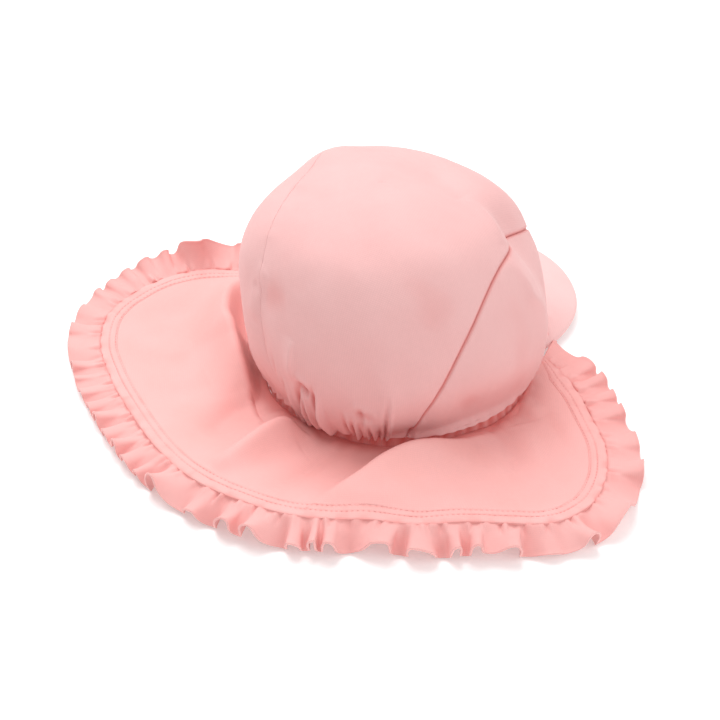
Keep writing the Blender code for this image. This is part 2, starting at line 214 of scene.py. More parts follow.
@dataclass(frozen=True)
class Crease:
    """A fold or dent along a path. Height is below 0 for a dent, and left and right are half widths."""

    path: tuple[tuple[float, float], ...]
    height: float
    left: float
    right: float
    sharp: float = 2.0
    heights: tuple[float, ...] = ()

    def relief(self, place: Array) -> Array:
        """Height that the crease adds.

        Args:
            place: points of the surface's own plane, x and y on the last axis.

        Returns:
            The added height at each point.
        """
        knots = np.linspace(0, 1, len(self.path))
        fine = np.linspace(0, 1, 36)
        line = np.stack([smooth(fine, knots, [p[a] for p in self.path]) for a in (0, 1)], axis=-1)
        if self.heights:
            height = smooth(fine, knots, list(self.heights)) * self.height
        else:
            height = self.height * np.clip(4 * fine * (1 - fine), 0, 1) ** 0.7
        away = place[..., None, :] - line
        distance = np.linalg.norm(away, axis=-1)
        nearest = distance.argmin(axis=-1)
        away = np.take_along_axis(away, nearest[..., None, None], axis=-2)[..., 0, :]
        way = np.gradient(line, axis=0)[nearest]
        step = np.linalg.norm(way, axis=-1)
        along = (way * away).sum(axis=-1) / step
        side = (way[..., 0] * away[..., 1] - way[..., 1] * away[..., 0]) / step
        last = len(fine) - 1
        past = ((nearest == 0) & (along < 0)) | ((nearest == last) & (along > 0))
        distance = np.where(past, distance.min(axis=-1), np.abs(side))
        height = np.interp(nearest + np.clip(along / step, -0.5, 0.5), np.arange(last + 1), height)
        wide = np.where(side > 0, self.left, self.right)
        return height * np.exp(-((distance / wide) ** self.sharp))


def seam_spaced(count: int, width: float) -> Array:
    """Shares from 0 to 1 that lie closer together at both ends, where a seam rolls in.

    Args:
        count: how many even steps lie between.
        width: the real width that the shares span.

    Returns:
        The shares.
    """
    edge = np.array([0.0, 0.0004, 0.0009, 0.0016]) / width
    middle = np.linspace(0.0026 / width, 1 - 0.0026 / width, count)
    return np.concatenate([edge, middle, 1 - edge[::-1]])


def flat_coordinates(grid: Array) -> Array:
    """Unrolls a grid of points into the flat cloth it is cut from.

    Args:
        grid: rows by columns of points.

    Returns:
        Flat coordinates in metres for each point.
    """
    across = np.linalg.norm(np.diff(grid, axis=1), axis=-1)
    u = np.concatenate([np.zeros((len(grid), 1)), np.cumsum(across, axis=1)], axis=1)
    u -= u[:, -1:] / 2
    along = np.linalg.norm(np.diff(grid, axis=0), axis=-1).mean(axis=1)
    v = np.concatenate([[0.0], np.cumsum(along)])
    return np.stack([u, np.broadcast_to(v[:, None], u.shape)], axis=-1)


def surface_normal(grid: Array, towards: Array) -> Array:
    """Unit normals of a grid of points.

    Args:
        grid: rows by columns of points.
        towards: a direction that the normals share, or one for each point.

    Returns:
        The normals.
    """
    normal = np.cross(np.gradient(grid, axis=0), np.gradient(grid, axis=1))
    normal *= np.sign((normal * towards).sum(axis=-1, keepdims=True))
    return normal / np.maximum(np.linalg.norm(normal, axis=-1, keepdims=True), 1e-12)


@dataclass
class ClothSheet:
    """One cut of cloth: its outer and inner faces as grids of points, and how much painted shade each point
    gets.
    """

    name: str
    outer: Array
    inner: Array
    painted_shade: Array | None = None

    def build(self, origin: Array, material: bpy.types.Material) -> bpy.types.Object:
        """Makes the closed cloth wall.

        Args:
            origin: where the opening's centre is in the frame.
            material: its finish.

        Returns:
            The new object.
        """
        rows, columns = self.outer.shape[:2]
        count = rows * columns
        index = np.arange(count).reshape(rows, columns)
        below = index + count
        faces = [
            self.strip(index[:-1], index[1:]),
            self.strip(below[1:], below[:-1]),
            self.strip(below[:1], index[:1]),
            self.strip(index[-1:], below[-1:]),
            self.strip(index[:, :1].T, below[:, :1].T),
            self.strip(below[:, -1:].T, index[:, -1:].T),
        ]
        quads = np.concatenate(faces)
        points = np.concatenate([self.outer.reshape(-1, 3), self.inner.reshape(-1, 3)]) + origin
        corner = points[quads]
        volume = (np.cross(corner[:, 0], corner[:, 1]) * corner[:, 2]).sum()
        volume += (np.cross(corner[:, 0], corner[:, 2]) * corner[:, 3]).sum()
        if volume < 0:
            quads = quads[:, ::-1]
        mesh = bpy.data.meshes.new(self.name)
        mesh.from_pydata(points.tolist(), [], quads.tolist())
        flat = np.tile(flat_coordinates(self.outer).reshape(-1, 2), (2, 1))
        layer = mesh.uv_layers.new(name="UVMap")
        layer.data.foreach_set("uv", flat[quads.ravel()].astype(np.float32).ravel())
        # Painted shade for each point of the outer face; the inner face gets none.
        painted_shade = np.zeros(2 * count, np.float32)
        if self.painted_shade is not None:
            painted_shade[:count] = self.painted_shade.ravel()
        mesh.attributes.new("painted_shade", "FLOAT", "POINT").data.foreach_set("value", painted_shade)
        shape = bmesh.new()
        shape.from_mesh(mesh)
        bmesh.ops.remove_doubles(shape, verts=shape.verts, dist=WELD_DISTANCE)
        shape.to_mesh(mesh)
        shape.free()
        mesh.shade_smooth()
        mesh.materials.append(material)
        return new_object(self.name, mesh)

    @staticmethod
    def strip(a: Array, b: Array) -> Array:
        """Quads between neighbouring columns of two stacks of index rows."""
        return np.stack([a[:, :-1], a[:, 1:], b[:, 1:], b[:, :-1]], axis=-1).reshape(-1, 4)


def new_object(name: str, data: bpy.types.ID) -> bpy.types.Object:
    """Makes an object and links it to the scene.

    Args:
        name: its name.
        data: its mesh, curve, light or camera.

    Returns:
        The object.
    """
    obj = bpy.data.objects.new(name, data)
    bpy.context.scene.collection.objects.link(obj)
    return obj


def dress(piece: bpy.types.Object, slot: Slot, *nodes: str) -> bpy.types.Object:
    """Puts a finished piece into the frame and reports it.

    Args:
        piece: the piece.
        slot: the record's slot for its finish. It is not used.
        nodes: the CAD nodes that it stands for.

    Returns:
        The piece.
    """
    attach(piece, "root")
    if nodes:
        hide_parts(*nodes)
    faces = sum(len(p.vertices) - 2 for p in piece.data.polygons)
    LOG.info("%s: %d triangles", piece.name, faces)
    return piece


def add_node(
    tree: bpy.types.NodeTree, kind: str, settings: dict | None = None, links: dict | None = None
) -> bpy.types.Node:
    """Adds one node with its settings and its links.

    Args:
        tree: the tree that it joins.
        kind: the node's type name.
        settings: values by attribute name, or by input name or number.
        links: source sockets by input name or number.

    Returns:
        The node.
    """
    node = tree.nodes.new(kind)
    for key, value in (settings or {}).items():
        if isinstance(key, str) and hasattr(node, key):
            setattr(node, key, value)
        else:
            node.inputs[key].default_value = value
    for key, source in (links or {}).items():
        tree.links.new(source, node.inputs[key])
    return node


def new_material(
    name: str, settings: dict[str, float | tuple[float, ...]]
) -> tuple[bpy.types.Material, bpy.types.NodeTree, bpy.types.Node]:
    """Starts a material.

    Args:
        name: its name.
        settings: values of its shader's inputs, by name.

    Returns:
        The material, its node tree and its shader.
    """
    material = bpy.data.materials.new(name)
    material.use_nodes = True
    shader = material.node_tree.nodes["Principled BSDF"]
    for key, value in settings.items():
        shader.inputs[key].default_value = value
    return material, material.node_tree, shader


def mottle(
    tree: bpy.types.NodeTree, shader: bpy.types.Node, colour: str, scale: float, detail: float,
    values: tuple[float, float],
) -> None:
    """Colours a shader, a little lighter and darker by a noise.

    Args:
        tree: the material's tree.
        shader: the shader to colour.
        colour: six hex digits.
        scale: the noise's scale.
        detail: the noise's detail.
        values: the lowest and the highest brightness.
    """
    place = add_node(tree, "ShaderNodeTexCoord").outputs["Object"]
    grain = add_node(tree, "ShaderNodeTexNoise", {"Scale": scale, "Detail": detail}, {"Vector": place})
    span = {"To Min": values[0], "To Max": values[1]}
    shade = add_node(tree, "ShaderNodeMapRange", span, {"Value": grain.outputs["Fac"]}).outputs["Result"]
    hue = add_node(tree, "ShaderNodeHueSaturation", {"Color": linear(colour)}, {"Value": shade})
    tree.links.new(hue.outputs["Color"], shader.inputs["Base Color"])


@dataclass(frozen=True)
class SwimJersey:
    """Nylon and elastane swim jersey, warp-knitted and lightly brushed, dyed pink.

    Its face is matt with a soft sheen at grazing angles. Its folds, seams and crevices are painted deeper
    pink, as painted shade for the light that bounces between their dyed walls.
    """

    name: str
    lit: str
    body: str
    # Colour of the painted shade in folds, seams and crevices
    fold: str
    wale_mm: float = 1.2
    knit_bump: float = 0.16
    roughness: float = 0.78
    sheen: float = 0.12

    def material(self) -> bpy.types.Material:
        """Builds the shader.

        Returns:
            The material.
        """
        material, tree, shader = new_material(
            self.name,
            {
                "Roughness": self.roughness,
                "Sheen Weight": self.sheen,
                "Sheen Roughness": 0.45,
                "Sheen Tint": linear("fff0ee"),
                "Specular IOR Level": 0.28,
                "IOR": 1.5,
            },
        )
        place = add_node(tree, "ShaderNodeTexCoord").outputs["Object"]
        flat = add_node(tree, "ShaderNodeUVMap", {"uv_map": "UVMap"}).outputs["UV"]
        # Dye takes a little unevenly over some 3 cm.
        uneven = add_node(tree, "ShaderNodeTexNoise", {"Scale": 34.0, "Detail": 2.0}, {"Vector": place})
        share = add_node(
            tree, "ShaderNodeMapRange", {"From Min": 0.30, "From Max": 0.70}, {"Value": uneven.outputs["Fac"]}
        )
        colours = {"data_type": "RGBA", 6: linear(self.lit), 7: linear(self.body)}
        colour = add_node(tree, "ShaderNodeMix", colours, {0: share.outputs["Result"]})
        # Painted shade: a per-point attribute of each piece mixes the colour towards the fold colour.
        painted_shade = add_node(tree, "ShaderNodeAttribute", {"attribute_name": "painted_shade"})
        shaded_colour = add_node(
            tree,
            "ShaderNodeMix",
            {"data_type": "RGBA", 7: linear(self.fold)},
            {0: painted_shade.outputs["Fac"], 6: colour.outputs[2]},
        )
        # Real wales are 0.45 mm apart. They are drawn coarser, so that a render shows them.
        turns = math.pi / 10 / (self.wale_mm / 1000)
        wales, courses = (
            add_node(
                tree,
                "ShaderNodeTexWave",
                {"bands_direction": way, "Scale": scale, "Distortion": 0.6, "Detail": 1.0},
                {"Vector": flat},
            ).outputs["Fac"]
            for way, scale in (("X", turns), ("Y", turns * 1.25))
        )
        knit = add_node(tree, "ShaderNodeMath", {"operation": "MULTIPLY"}, {0: wales, 1: courses})
        # The brushed nap clumps over about 2 mm.
        nap = add_node(tree, "ShaderNodeTexNoise", {"Scale": 480.0, "Detail": 3.0}, {"Vector": place})
        height = add_node(
            tree, "ShaderNodeMath", {"operation": "ADD"}, {0: knit.outputs["Value"], 1: nap.outputs["Fac"]}
        ).outputs["Value"]
        span = {"From Min": 0.3, "From Max": 1.4, "To Min": 0.965, "To Max": 1.03}
        tint = add_node(tree, "ShaderNodeMapRange", span, {"Value": height}).outputs["Result"]
        hue = add_node(tree, "ShaderNodeHueSaturation", {}, {"Value": tint, "Color": shaded_colour.outputs[2]})
        tree.links.new(hue.outputs["Color"], shader.inputs["Base Color"])
        relief = {"Strength": self.knit_bump, "Distance": 0.0003}
        bump = add_node(tree, "ShaderNodeBump", relief, {"Height": height})
        tree.links.new(bump.outputs["Normal"], shader.inputs["Normal"])
        return material


@dataclass(frozen=True)
class SewingThread:
    """Spun polyester sewing thread, 0.3 mm thick with a soft lustre, dyed to match the cloth."""

    name: str
    colour: str

    def material(self) -> bpy.types.Material:
        """Builds the shader.

        Returns:
            The material.
        """
        material, tree, shader = new_material(self.name, {"Roughness": 0.5, "Sheen Weight": 0.3})
        # Plies of the twisted thread, 0.5 mm apart.
        mottle(tree, shader, self.colour, 2000.0, 1.0, (0.85, 1.12))
        return material


@dataclass(frozen=True)
class StudioBoard:
    """Matt white studio board, rolled smooth, lit so that it stays white in the photo."""

    name: str
    colour: str
    glow: float

    def material(self) -> bpy.types.Material:
        """Builds the shader.

        Returns:
            The material.
        """
        material, tree, shader = new_material(
            self.name,
            {
                "Roughness": 0.9,
                "Specular IOR Level": 0.1,
                "Emission Color": linear("ffffff"),
                "Emission Strength": self.glow,
            },
        )
        mottle(tree, shader, self.colour, 60.0, 2.0, (0.98, 1.0))
        return material


@dataclass
class StitchRow:
    """A row of machine stitches along a path, made with Geometry Nodes.

    Real thread is 0.3 mm thick. The stitches are drawn thicker, so that a render shows them.
    """

    pitch: float = 0.0026
    length: float = 0.0021
    thickness: float = 0.00042
    seed: int = 7

    def tree(self, thread: bpy.types.Material) -> bpy.types.NodeTree:
        """Builds the tree: stitches stand on a resampled curve, then become one mesh.

        Args:
            thread: the stitches' finish.

        Returns:
            The node tree.
        """
        tree = bpy.data.node_groups.new("stitch_row", "GeometryNodeTree")
        for name, kind in (
            ("Path", "NodeSocketGeometry"),
            ("Pitch", "NodeSocketFloat"),
            ("Stitch Length", "NodeSocketFloat"),
            ("Thread Thickness", "NodeSocketFloat"),
            ("Seed", "NodeSocketInt"),
        ):
            tree.interface.new_socket(name, in_out="INPUT", socket_type=kind)
        tree.interface.new_socket("Mesh", in_out="OUTPUT", socket_type="NodeSocketGeometry")
        given = add_node(tree, "NodeGroupInput").outputs
        spacing = {"Curve": given["Path"], "Length": given["Pitch"]}
        points = add_node(tree, "GeometryNodeResampleCurve", {"mode": "LENGTH"}, spacing)
        ball = {"Segments": 8, "Rings": 5, "Radius": 0.5}
        stitch = add_node(tree, "GeometryNodeMeshUVSphere", ball).outputs["Mesh"]
        thick = given["Thread Thickness"]
        sides = {"X": given["Stitch Length"], "Y": thick, "Z": thick}
        size = add_node(tree, "ShaderNodeCombineXYZ", {}, sides).outputs["Vector"]
        shaped = add_node(tree, "GeometryNodeTransform", {}, {"Geometry": stitch, "Scale": size})
        tangent = add_node(tree, "GeometryNodeInputTangent").outputs["Tangent"]
        turn = add_node(tree, "FunctionNodeAlignRotationToVector", {"axis": "X"}, {"Vector": tangent})
        spread = {"data_type": "FLOAT", 2: 0.88, 3: 1.08}
        tension = add_node(tree, "FunctionNodeRandomValue", spread, {"Seed": given["Seed"]})
        placed = add_node(
            tree,
            "GeometryNodeInstanceOnPoints",
            {},
            {
                "Points": points.outputs["Curve"],
                "Instance": shaped.outputs["Geometry"],
                "Rotation": turn.outputs["Rotation"],
                "Scale": tension.outputs[1],
            },
        )
        last = placed.outputs["Instances"]
        for kind, settings in (
            ("GeometryNodeRealizeInstances", {}),
            ("GeometryNodeSetShadeSmooth", {}),
            ("GeometryNodeSetMaterial", {"Material": thread}),
        ):
            last = add_node(tree, kind, settings, {"Geometry": last}).outputs["Geometry"]
        add_node(tree, "NodeGroupOutput", {}, {0: last})
        return tree

    def build(
        self, name: str, paths: list[Array], origin: Array, thread: bpy.types.Material
    ) -> bpy.types.Object:
        """Sews the rows.

        Args:
            name: the new piece's name.
            paths: the points that each row follows.
            origin: where the opening's centre is in the frame.
            thread: the stitches' finish.

        Returns:
            The rows as one plain mesh.
        """
        curve = bpy.data.curves.new(name + "_path", "CURVE")
        curve.dimensions = "3D"
        for path in paths:
            spline = curve.splines.new("POLY")
            spline.points.add(len(path) - 1)
            co = np.concatenate([path + origin, np.ones((len(path), 1))], axis=1)
            spline.points.foreach_set("co", co.astype(np.float32).ravel())
        guide = new_object(name + "_path", curve)
        tree = self.tree(thread)
        modifier = guide.modifiers.new("stitches", "NODES")
        modifier.node_group = tree
        values = {
            "Pitch": self.pitch,
            "Stitch Length": self.length,
            "Thread Thickness": self.thickness,
            "Seed": self.seed,
        }
        for item in tree.interface.items_tree:
            if item.name in values:
                modifier[item.identifier] = values[item.name]
        bpy.context.view_layer.update()
        evaluated = guide.evaluated_get(bpy.context.evaluated_depsgraph_get())
        mesh = bpy.data.meshes.new_from_object(evaluated)
        mesh.name = name
        guide.modifiers.remove(modifier)
        bpy.data.objects.remove(guide)
        bpy.data.curves.remove(curve)
        return new_object(name, mesh)


@dataclass
class HeadOpening:
    """The head opening's oval, and the casing and band that close it."""

    width: float = 0.140
    back: float = 0.068
    front: float = 0.087
    casing_height: float = 0.010
    band_height: float = 0.044
    band_lean: float = 0.008
    band_start: float = 113.4
    casing_end: float = 113.0
    # The rim rises from so many degrees before the band's start up to that angle
    rise_before: float = 10.0
    rise_end: float = 158.0
    gap: float = 0.0003
    gather_depth: float = 0.0008

    def radius(self, angle: Array) -> Array:
        """Radius of the opening's outer edge on the floor."""
        return oval(angle, self.width, self.back, self.front)

    def front_share(self, angle: Array) -> Array:
        """0 where the crown stands on the casing behind, 1 where it stands on the band in front."""
        from_nape = 180 - np.abs((angle % 360) - 180)
        return ease(from_nape, self.band_start - self.rise_before, self.rise_end)

    def rim_height(self, angle: Array) -> Array:
        """Height of the crown's lower edge."""
        step = self.band_height - self.casing_height
        return self.casing_height + self.gap + step * self.front_share(angle)

    def band_radius(self, angle: Array, height: Array) -> Array:
        """Radius of the front band's outer face at that height."""
        lean = self.band_lean * self.front_share(angle) * height / self.rim_height(angle)
        return self.radius(angle) - lean


@dataclass
class Crown:
    """The puffed crown: a centre strip from nape to forehead between two side panels.

    A place on it is (p, q) in a disc of radius 1, with the rim as its edge and the top as its centre.
    p is to the wearer's right and q towards the nape.
    """

    opening: HeadOpening
    width: float = 0.164
    back: float = 0.084
    front: float = 0.082
    height: float = 0.121
    lean: tuple[float, float] = (0.007, 0.008)
    wall: float = 0.0015
    seam_dip: float = 0.0012
    seam_dip_width: float = 0.0050
    seam_roll: float = 0.0010
    seam_width: float = 0.0009
    yoke_depth: float = 0.0012
    yoke_width: float = 0.0011
    rim_dip: float = 0.0009
    rim_dip_width: float = 0.0013
    disc: float = 0.145
    # The forehead yoke's seam across the centre strip: angle either side of the nape, share up the crown
    yoke: tuple[tuple[float, ...], tuple[float, ...]] = (
        (110.0, 118.0, 122.0, 127.0, 133.0, 140.0, 150.0, 180.0),
        (0.54, 0.485, 0.455, 0.42, 0.385, 0.33, 0.27, 0.25),
    )
    profile: dict[str, list[float]] = field(
        default_factory=lambda: {
            "up": [0.00, 0.05, 0.10, 0.17, 0.25, 0.35, 0.45, 0.55, 0.65, 0.76, 0.88, 1.00],
            "out": [0.870, 0.935, 0.980, 1.0, 1.0, 0.972, 0.918, 0.835, 0.712, 0.515, 0.262, 0.0],
            "high": [0.0, 0.016, 0.082, 0.197, 0.328, 0.486, 0.634, 0.765, 0.869, 0.942, 0.984, 1],
        }
    )
    seams: dict[str, list[float]] = field(
        default_factory=lambda: {
            "place": [-1.0, -0.7, -0.3, 0.0, 0.3, 0.6, 1.0],
            "RIGHT": [0.36, 0.385, 0.450, 0.462, 0.525, 0.545, 0.52],
            "LEFT": [0.33, 0.31, 0.27, 0.255, 0.215, 0.26, 0.26],
        }
    )
    dents: dict[str, list[float]] = field(
        default_factory=lambda: {
            "angle": [-24, -105, -119, 158, 120, -20, 62, 84, 28, 124, -62],
            "up": [0.10, 0.52, 0.70, 0.72, 0.26, 0.45, 0.10, 0.34, 0.05, 0.48, 0.24],
            "push": [-0.050, -0.046, 0.072, -0.090, -0.012, -0.014, -0.080, 0.012, -0.024, -0.085,
                     -0.038],
            "wide": [24, 28, 20, 52, 30, 16, 34, 24, 8, 13, 26],
            "tall": [0.10, 0.20, 0.09, 0.18, 0.26, 0.06, 0.09, 0.16, 0.07, 0.15, 0.14],
        }
    )
    # Gathers over the elastic: from angle, to angle, degrees apart, depth, share of rim-to-top reached
    gathers: tuple[tuple[float, float, float, float, float], ...] = (
        (-112, -38, 5.6, 0.0006, 0.10),
        (-34, -22, 4.2, 0.0016, 0.20),
        (-17, -8, 2.8, 0.0036, 0.31),
        (-5, 4, 2.5, 0.0036, 0.26),
        (7, 14, 4.4, 0.0006, 0.09),
        (12, 26, 2.2, 0.0024, 0.24),
        (34, 41, 3.8, 0.0008, 0.12),
        (45, 112, 5.6, 0.0005, 0.08),
    )
    # Soft creases seen on the cloth, with (p, q) places times the disc's real radius
    creases: tuple[Crease, ...] = (
        Crease(((-0.29, 0.49), (-0.19, 0.505), (-0.09, 0.50)), -0.0008, 0.006, 0.008),
        Crease(((-0.065, 0.62), (-0.08, 0.69), (-0.10, 0.76)), 0.0026, 0.005, 0.0018, 1.4),
        Crease(((-0.07, 0.765), (-0.045, 0.775), (-0.015, 0.80)), -0.0030, 0.0018, 0.003),
        Crease(((-0.08, 0.742), (-0.04, 0.750), (0.0, 0.775)), 0.0014, 0.003, 0.003),
        Crease(((0.225, 0.785), (0.265, 0.785), (0.320, 0.775)), -0.0016, 0.0022, 0.004),
        Crease(((0.215, 0.762), (0.265, 0.760), (0.330, 0.750)), 0.0010, 0.003, 0.003),
        Crease(((0.205, -0.155), (0.295, -0.135), (0.42, -0.09)), 0.0024, 0.004, 0.010, 1.5),
        Crease(((0.465, -0.06), (0.555, -0.066), (0.611, -0.086), (0.679, -0.234)),
               0.0028, 0.004, 0.008, 1.4),
        Crease(((-0.275, 0.45), (-0.262, 0.475), (-0.235, 0.49)), -0.0010, 0.0025, 0.0025),
        Crease(((-0.20, 0.41), (-0.26, 0.49), (-0.31, 0.57)), 0.0018, 0.006, 0.005),
        Crease(((0.30, 0.55), (0.36, 0.66), (0.38, 0.78)), 0.0010, 0.008, 0.008),
        Crease(((0.62, 0.50), (0.70, 0.44), (0.74, 0.32)), -0.0010, 0.010, 0.010),
        Crease(((-0.50, 0.30), (-0.58, 0.38), (-0.62, 0.52)), -0.0016, 0.008, 0.006),
        Crease(((-0.45, -0.55), (-0.60, -0.45), (-0.66, -0.25)), -0.0014, 0.010, 0.008),
        Crease(((0.10, -0.80), (0.05, -0.62), (-0.04, -0.48)), -0.0012, 0.010, 0.012),
    )

    def seam(self, q: Array, side: Side) -> Array:
        """Where that side's long seam lies at front-to-back place q."""
        return side.value * smooth(q, self.seams["place"], self.seams[side.name])

    def base(self, p: Array, q: Array) -> Array:
        """The crown's main shape.

        Args:
            p: place to the right.
            q: place towards the nape.

        Returns:
            Points of its outer face, without creases.
        """
        angle = np.degrees(np.arctan2(p, q))
        up = 1 - np.hypot(p, q)
        rim = self.opening.rim_height(angle)
        high = rim + smooth(up, self.profile["up"], self.profile["high"]) * (self.height - rim)
        near_rim = 1 - ease(up, 0.0, 0.17)
        bulge = oval(angle, self.width, self.back, self.front)
        edge = self.opening.band_radius(angle, rim)
        radius = bulge * smooth(up, self.profile["up"], self.profile["out"])
        radius = radius + near_rim * (edge - bulge * self.profile["out"][0])
        push = np.zeros_like(radius)
        for a, u, amount, wide, tall in zip(*self.dents.values()):
            turn = (angle - a + 180) % 360 - 180
            push += amount * self.height * bell(turn, wide) * bell(up - u, tall)
        for side in Side:
            push -= self.seam_dip * bell((p - self.seam(q, side)) * self.width / 2, self.seam_dip_width)
        push *= ease(up, 0.0, 0.08)
        top = ease(up, 0.45, 0.95)
        lean = ease(up, 0.05, 0.75)[..., None] * np.array([*self.lean, 0.0])
        return around(angle, radius + push * (1 - top), high + push * top) + lean

    def normal(self, p: Array, q: Array) -> Array:
        """Unit normals of the main shape.

        Args:
            p: place to the right.
            q: place towards the nape.

        Returns:
            The normals, outwards.
        """
        step = 0.004
        across = self.base(p + step, q) - self.base(p - step, q)
        back = self.base(p, q + step) - self.base(p, q - step)
        normal = np.cross(back, across)
        return normal / np.linalg.norm(normal, axis=-1, keepdims=True)

    def gather_relief(self, angle: Array, up: Array) -> Array:
        """Height of the small folds that the elastic draws in.

        Args:
            angle: degrees from the nape.
            up: share of the way from rim to top.

        Returns:
            The height, below 0 in the folds' valleys.
        """
        rng = np.random.default_rng(11)
        total = np.zeros_like(up)
        for start, end, apart, depth, reach in self.gathers:
            for centre in np.arange(start, end + 0.1, apart):
                centre += rng.uniform(-0.3, 0.3) * apart
                size, slant = rng.uniform(0.55, 1.15), rng.uniform(-16, 16)
                long = reach * rng.uniform(0.6, 1.25)
                turn = angle - centre - slant * up
                fade = ease(up, 0.0, 0.02) * (1 - ease(up, 0.45 * long, long))
                total -= depth * size * fade * bell(turn, apart * 0.22 * (1 + 1.2 * up / long))
                total += 0.8 * depth * size * fade * bell(turn - apart * 0.5, apart * 0.40)
        return total

    def relief(self, p: Array, q: Array) -> Array:
        """Height of all folds, creases and seams over the main shape.

        Args:
            p: place to the right.
            q: place towards the nape.

        Returns:
            The height along the normal.
        """
        angle = np.degrees(np.arctan2(p, q))
        up = 1 - np.hypot(p, q)
        place = np.stack([p, q], axis=-1) * self.disc
        total = self.gather_relief(angle, up)
        for crease in self.creases:
            scaled = tuple((x * self.disc, y * self.disc) for x, y in crease.path)
            total += replace(crease, path=scaled).relief(place)
        x, y = place[..., 0], place[..., 1]
        calm = ease(up, 0.0, 0.12)
        total += calm * (0.0007 * cloth_noise(x, y, 0.034, 3) + 0.00025 * cloth_noise(x, y, 0.012, 4))
        for side in Side:
            seam = (p - self.seam(q, side)) * self.disc
            # The right seam is pulled crisp, and the left one lies in a soft fold.
            crisp = 1.0 if side is Side.RIGHT else 0.25
            total -= self.seam_roll * crisp * bell(seam, self.seam_width)
            pucker = cloth_noise(q * self.disc, seam * 0.2, 0.0045, 5 + side.value)
            total += 0.00022 * pucker * bell(np.abs(seam) - 0.002, 0.0035)
        from_yoke = (up - smooth(np.abs(angle), *map(list, self.yoke))) * self.disc
        inside = (p < self.seam(q, Side.RIGHT)) & (p > self.seam(q, Side.LEFT))
        dip = self.yoke_depth * bell(from_yoke, self.yoke_width)
        total -= dip * inside * (np.abs(angle) > 112)
        return total - self.rim_dip * bell(up * self.disc, self.rim_dip_width)

    def panel(self, name: str, p: Array, q: Array) -> ClothSheet:
        """Cuts one panel.

        Args:
            name: the piece's name.
            p: grid of places to the right.
            q: grid of places towards the nape.

        Returns:
            The panel.
        """
        base, normal, relief = self.base(p, q), self.normal(p, q), self.relief(p, q)
        outer = base + relief[..., None] * normal
        inner = base + (np.minimum(relief, 0.0) - self.wall)[..., None] * normal
        # Painted shade in the crown's folds and dents, and along the crisp right seam.
        seam_shade = bell((p - self.seam(q, Side.RIGHT)) * self.disc, self.seam_width)
        painted_shade = np.maximum(np.clip(-relief / 0.0030 - 0.15, 0, 0.8), 0.75 * seam_shade)
        return ClothSheet(name, outer, inner, painted_shade)

    @staticmethod
    def meet_rim(curve: Callable[[Array], Array], end: int) -> Array:
        """Finds where a curve over the crown meets the rim.

        Args:
            curve: gives p at each q.
            end: 1 for the nape, -1 for the forehead.

        Returns:
            The q where they meet.
        """
        q = end * 0.9
        for _ in range(30):
            q = end * np.sqrt(1 - curve(q) ** 2)
        return q

    def centre_panel(self) -> ClothSheet:
        """The strip from the nape over the top to the forehead.

        Returns:
            The panel.
        """
        along, share = np.meshgrid(seam_spaced(270, 0.300), seam_spaced(120, 0.100), indexing="ij")
        margin = 0.2 * self.opening.gap / self.width

        def across(q: Array) -> Array:
            """Place across the strip at q."""
            left, right = self.seam(q, Side.LEFT) + margin, self.seam(q, Side.RIGHT) - margin
            return left + (right - left) * share

        nape, forehead = self.meet_rim(across, 1), self.meet_rim(across, -1)
        q = nape + (forehead - nape) * along
        return self.panel("crown_centre_cloth", across(q), q)

    def side_panel(self, name: str, side: Side) -> ClothSheet:
        """A side panel, between its long seam and the rim.

        Args:
            name: the piece's name.
            side: which side it is on.

        Returns:
            The panel.
        """
        along, down = np.meshgrid(seam_spaced(190, 0.260), seam_spaced(84, 0.080), indexing="ij")
        margin = 0.2 * side.value * self.opening.gap / self.width
        nape, forehead = (self.meet_rim(lambda q: self.seam(q, side) + margin, end) for end in (1, -1))
        seam_q = nape + (forehead - nape) * along
        seam_p = self.seam(seam_q, side) + margin
        turn = np.arccos(nape) + along * (np.arccos(forehead) - np.arccos(nape))
        p = seam_p + (side.value * np.sin(turn) - seam_p) * down
        q = seam_q + (np.cos(turn) - seam_q) * down
        over = np.maximum(np.hypot(p, q), 1.0)
        return self.panel(name, p / over, q / over)

    def build(self, origin: Array, cloth: bpy.types.Material) -> None:
        """Makes the three panels.

        Args:
            origin: where the opening's centre is in the frame.
            cloth: their finish.
        """
        for sheet, node in (
            (self.centre_panel(), "crown_centre_panel"),
            (self.side_panel("crown_right_cloth", Side.RIGHT), "crown_side_right"),
            (self.side_panel("crown_left_cloth", Side.LEFT), "crown_side_left"),
        ):
            dress(sheet.build(origin, cloth), Slot.CROWN, node)


@dataclass
class FrontBand:
    """The plain band over the forehead that the peak is sewn to."""

    opening: HeadOpening
    wall: float = 0.0022

    def build(self, origin: Array, cloth: bpy.types.Material) -> None:
        """Makes the band.

        Args:
            origin: where the opening's centre is in the frame.
            cloth: its finish.
        """
        rim = self.opening
        ends = (rim.band_start, 360 - rim.band_start)
        angle = np.linspace(*ends, 200)[None]
        share = seam_spaced(26, 0.044)[:, None]
        height = share * (rim.rim_height(angle) - rim.gap)
        from_top = rim.rim_height(angle) - height
        pucker = cloth_noise(angle * 1.4, share * 3.0, 4.5, 21) * bell(from_top, 0.006)
        swell = cloth_noise(angle, share * 20.0, 14.0, 22)
        relief = 0.0004 * pucker + 0.0003 * swell
        relief = relief - 0.0008 * bell(from_top, 0.0010) - 0.0005 * bell(height, 0.0010)
        radius = rim.band_radius(angle, height)
        outer = around(angle, radius + relief, height)
        inner = around(angle, radius - self.wall, height)
        # Painted shade where the band dips: in its puckers and along its top and bottom edges.
        sheet = ClothSheet("front_band_cloth", outer, inner, np.clip(-relief / 0.001, 0, 1))
        dress(sheet.build(origin, cloth), Slot.CROWN, "front_band")


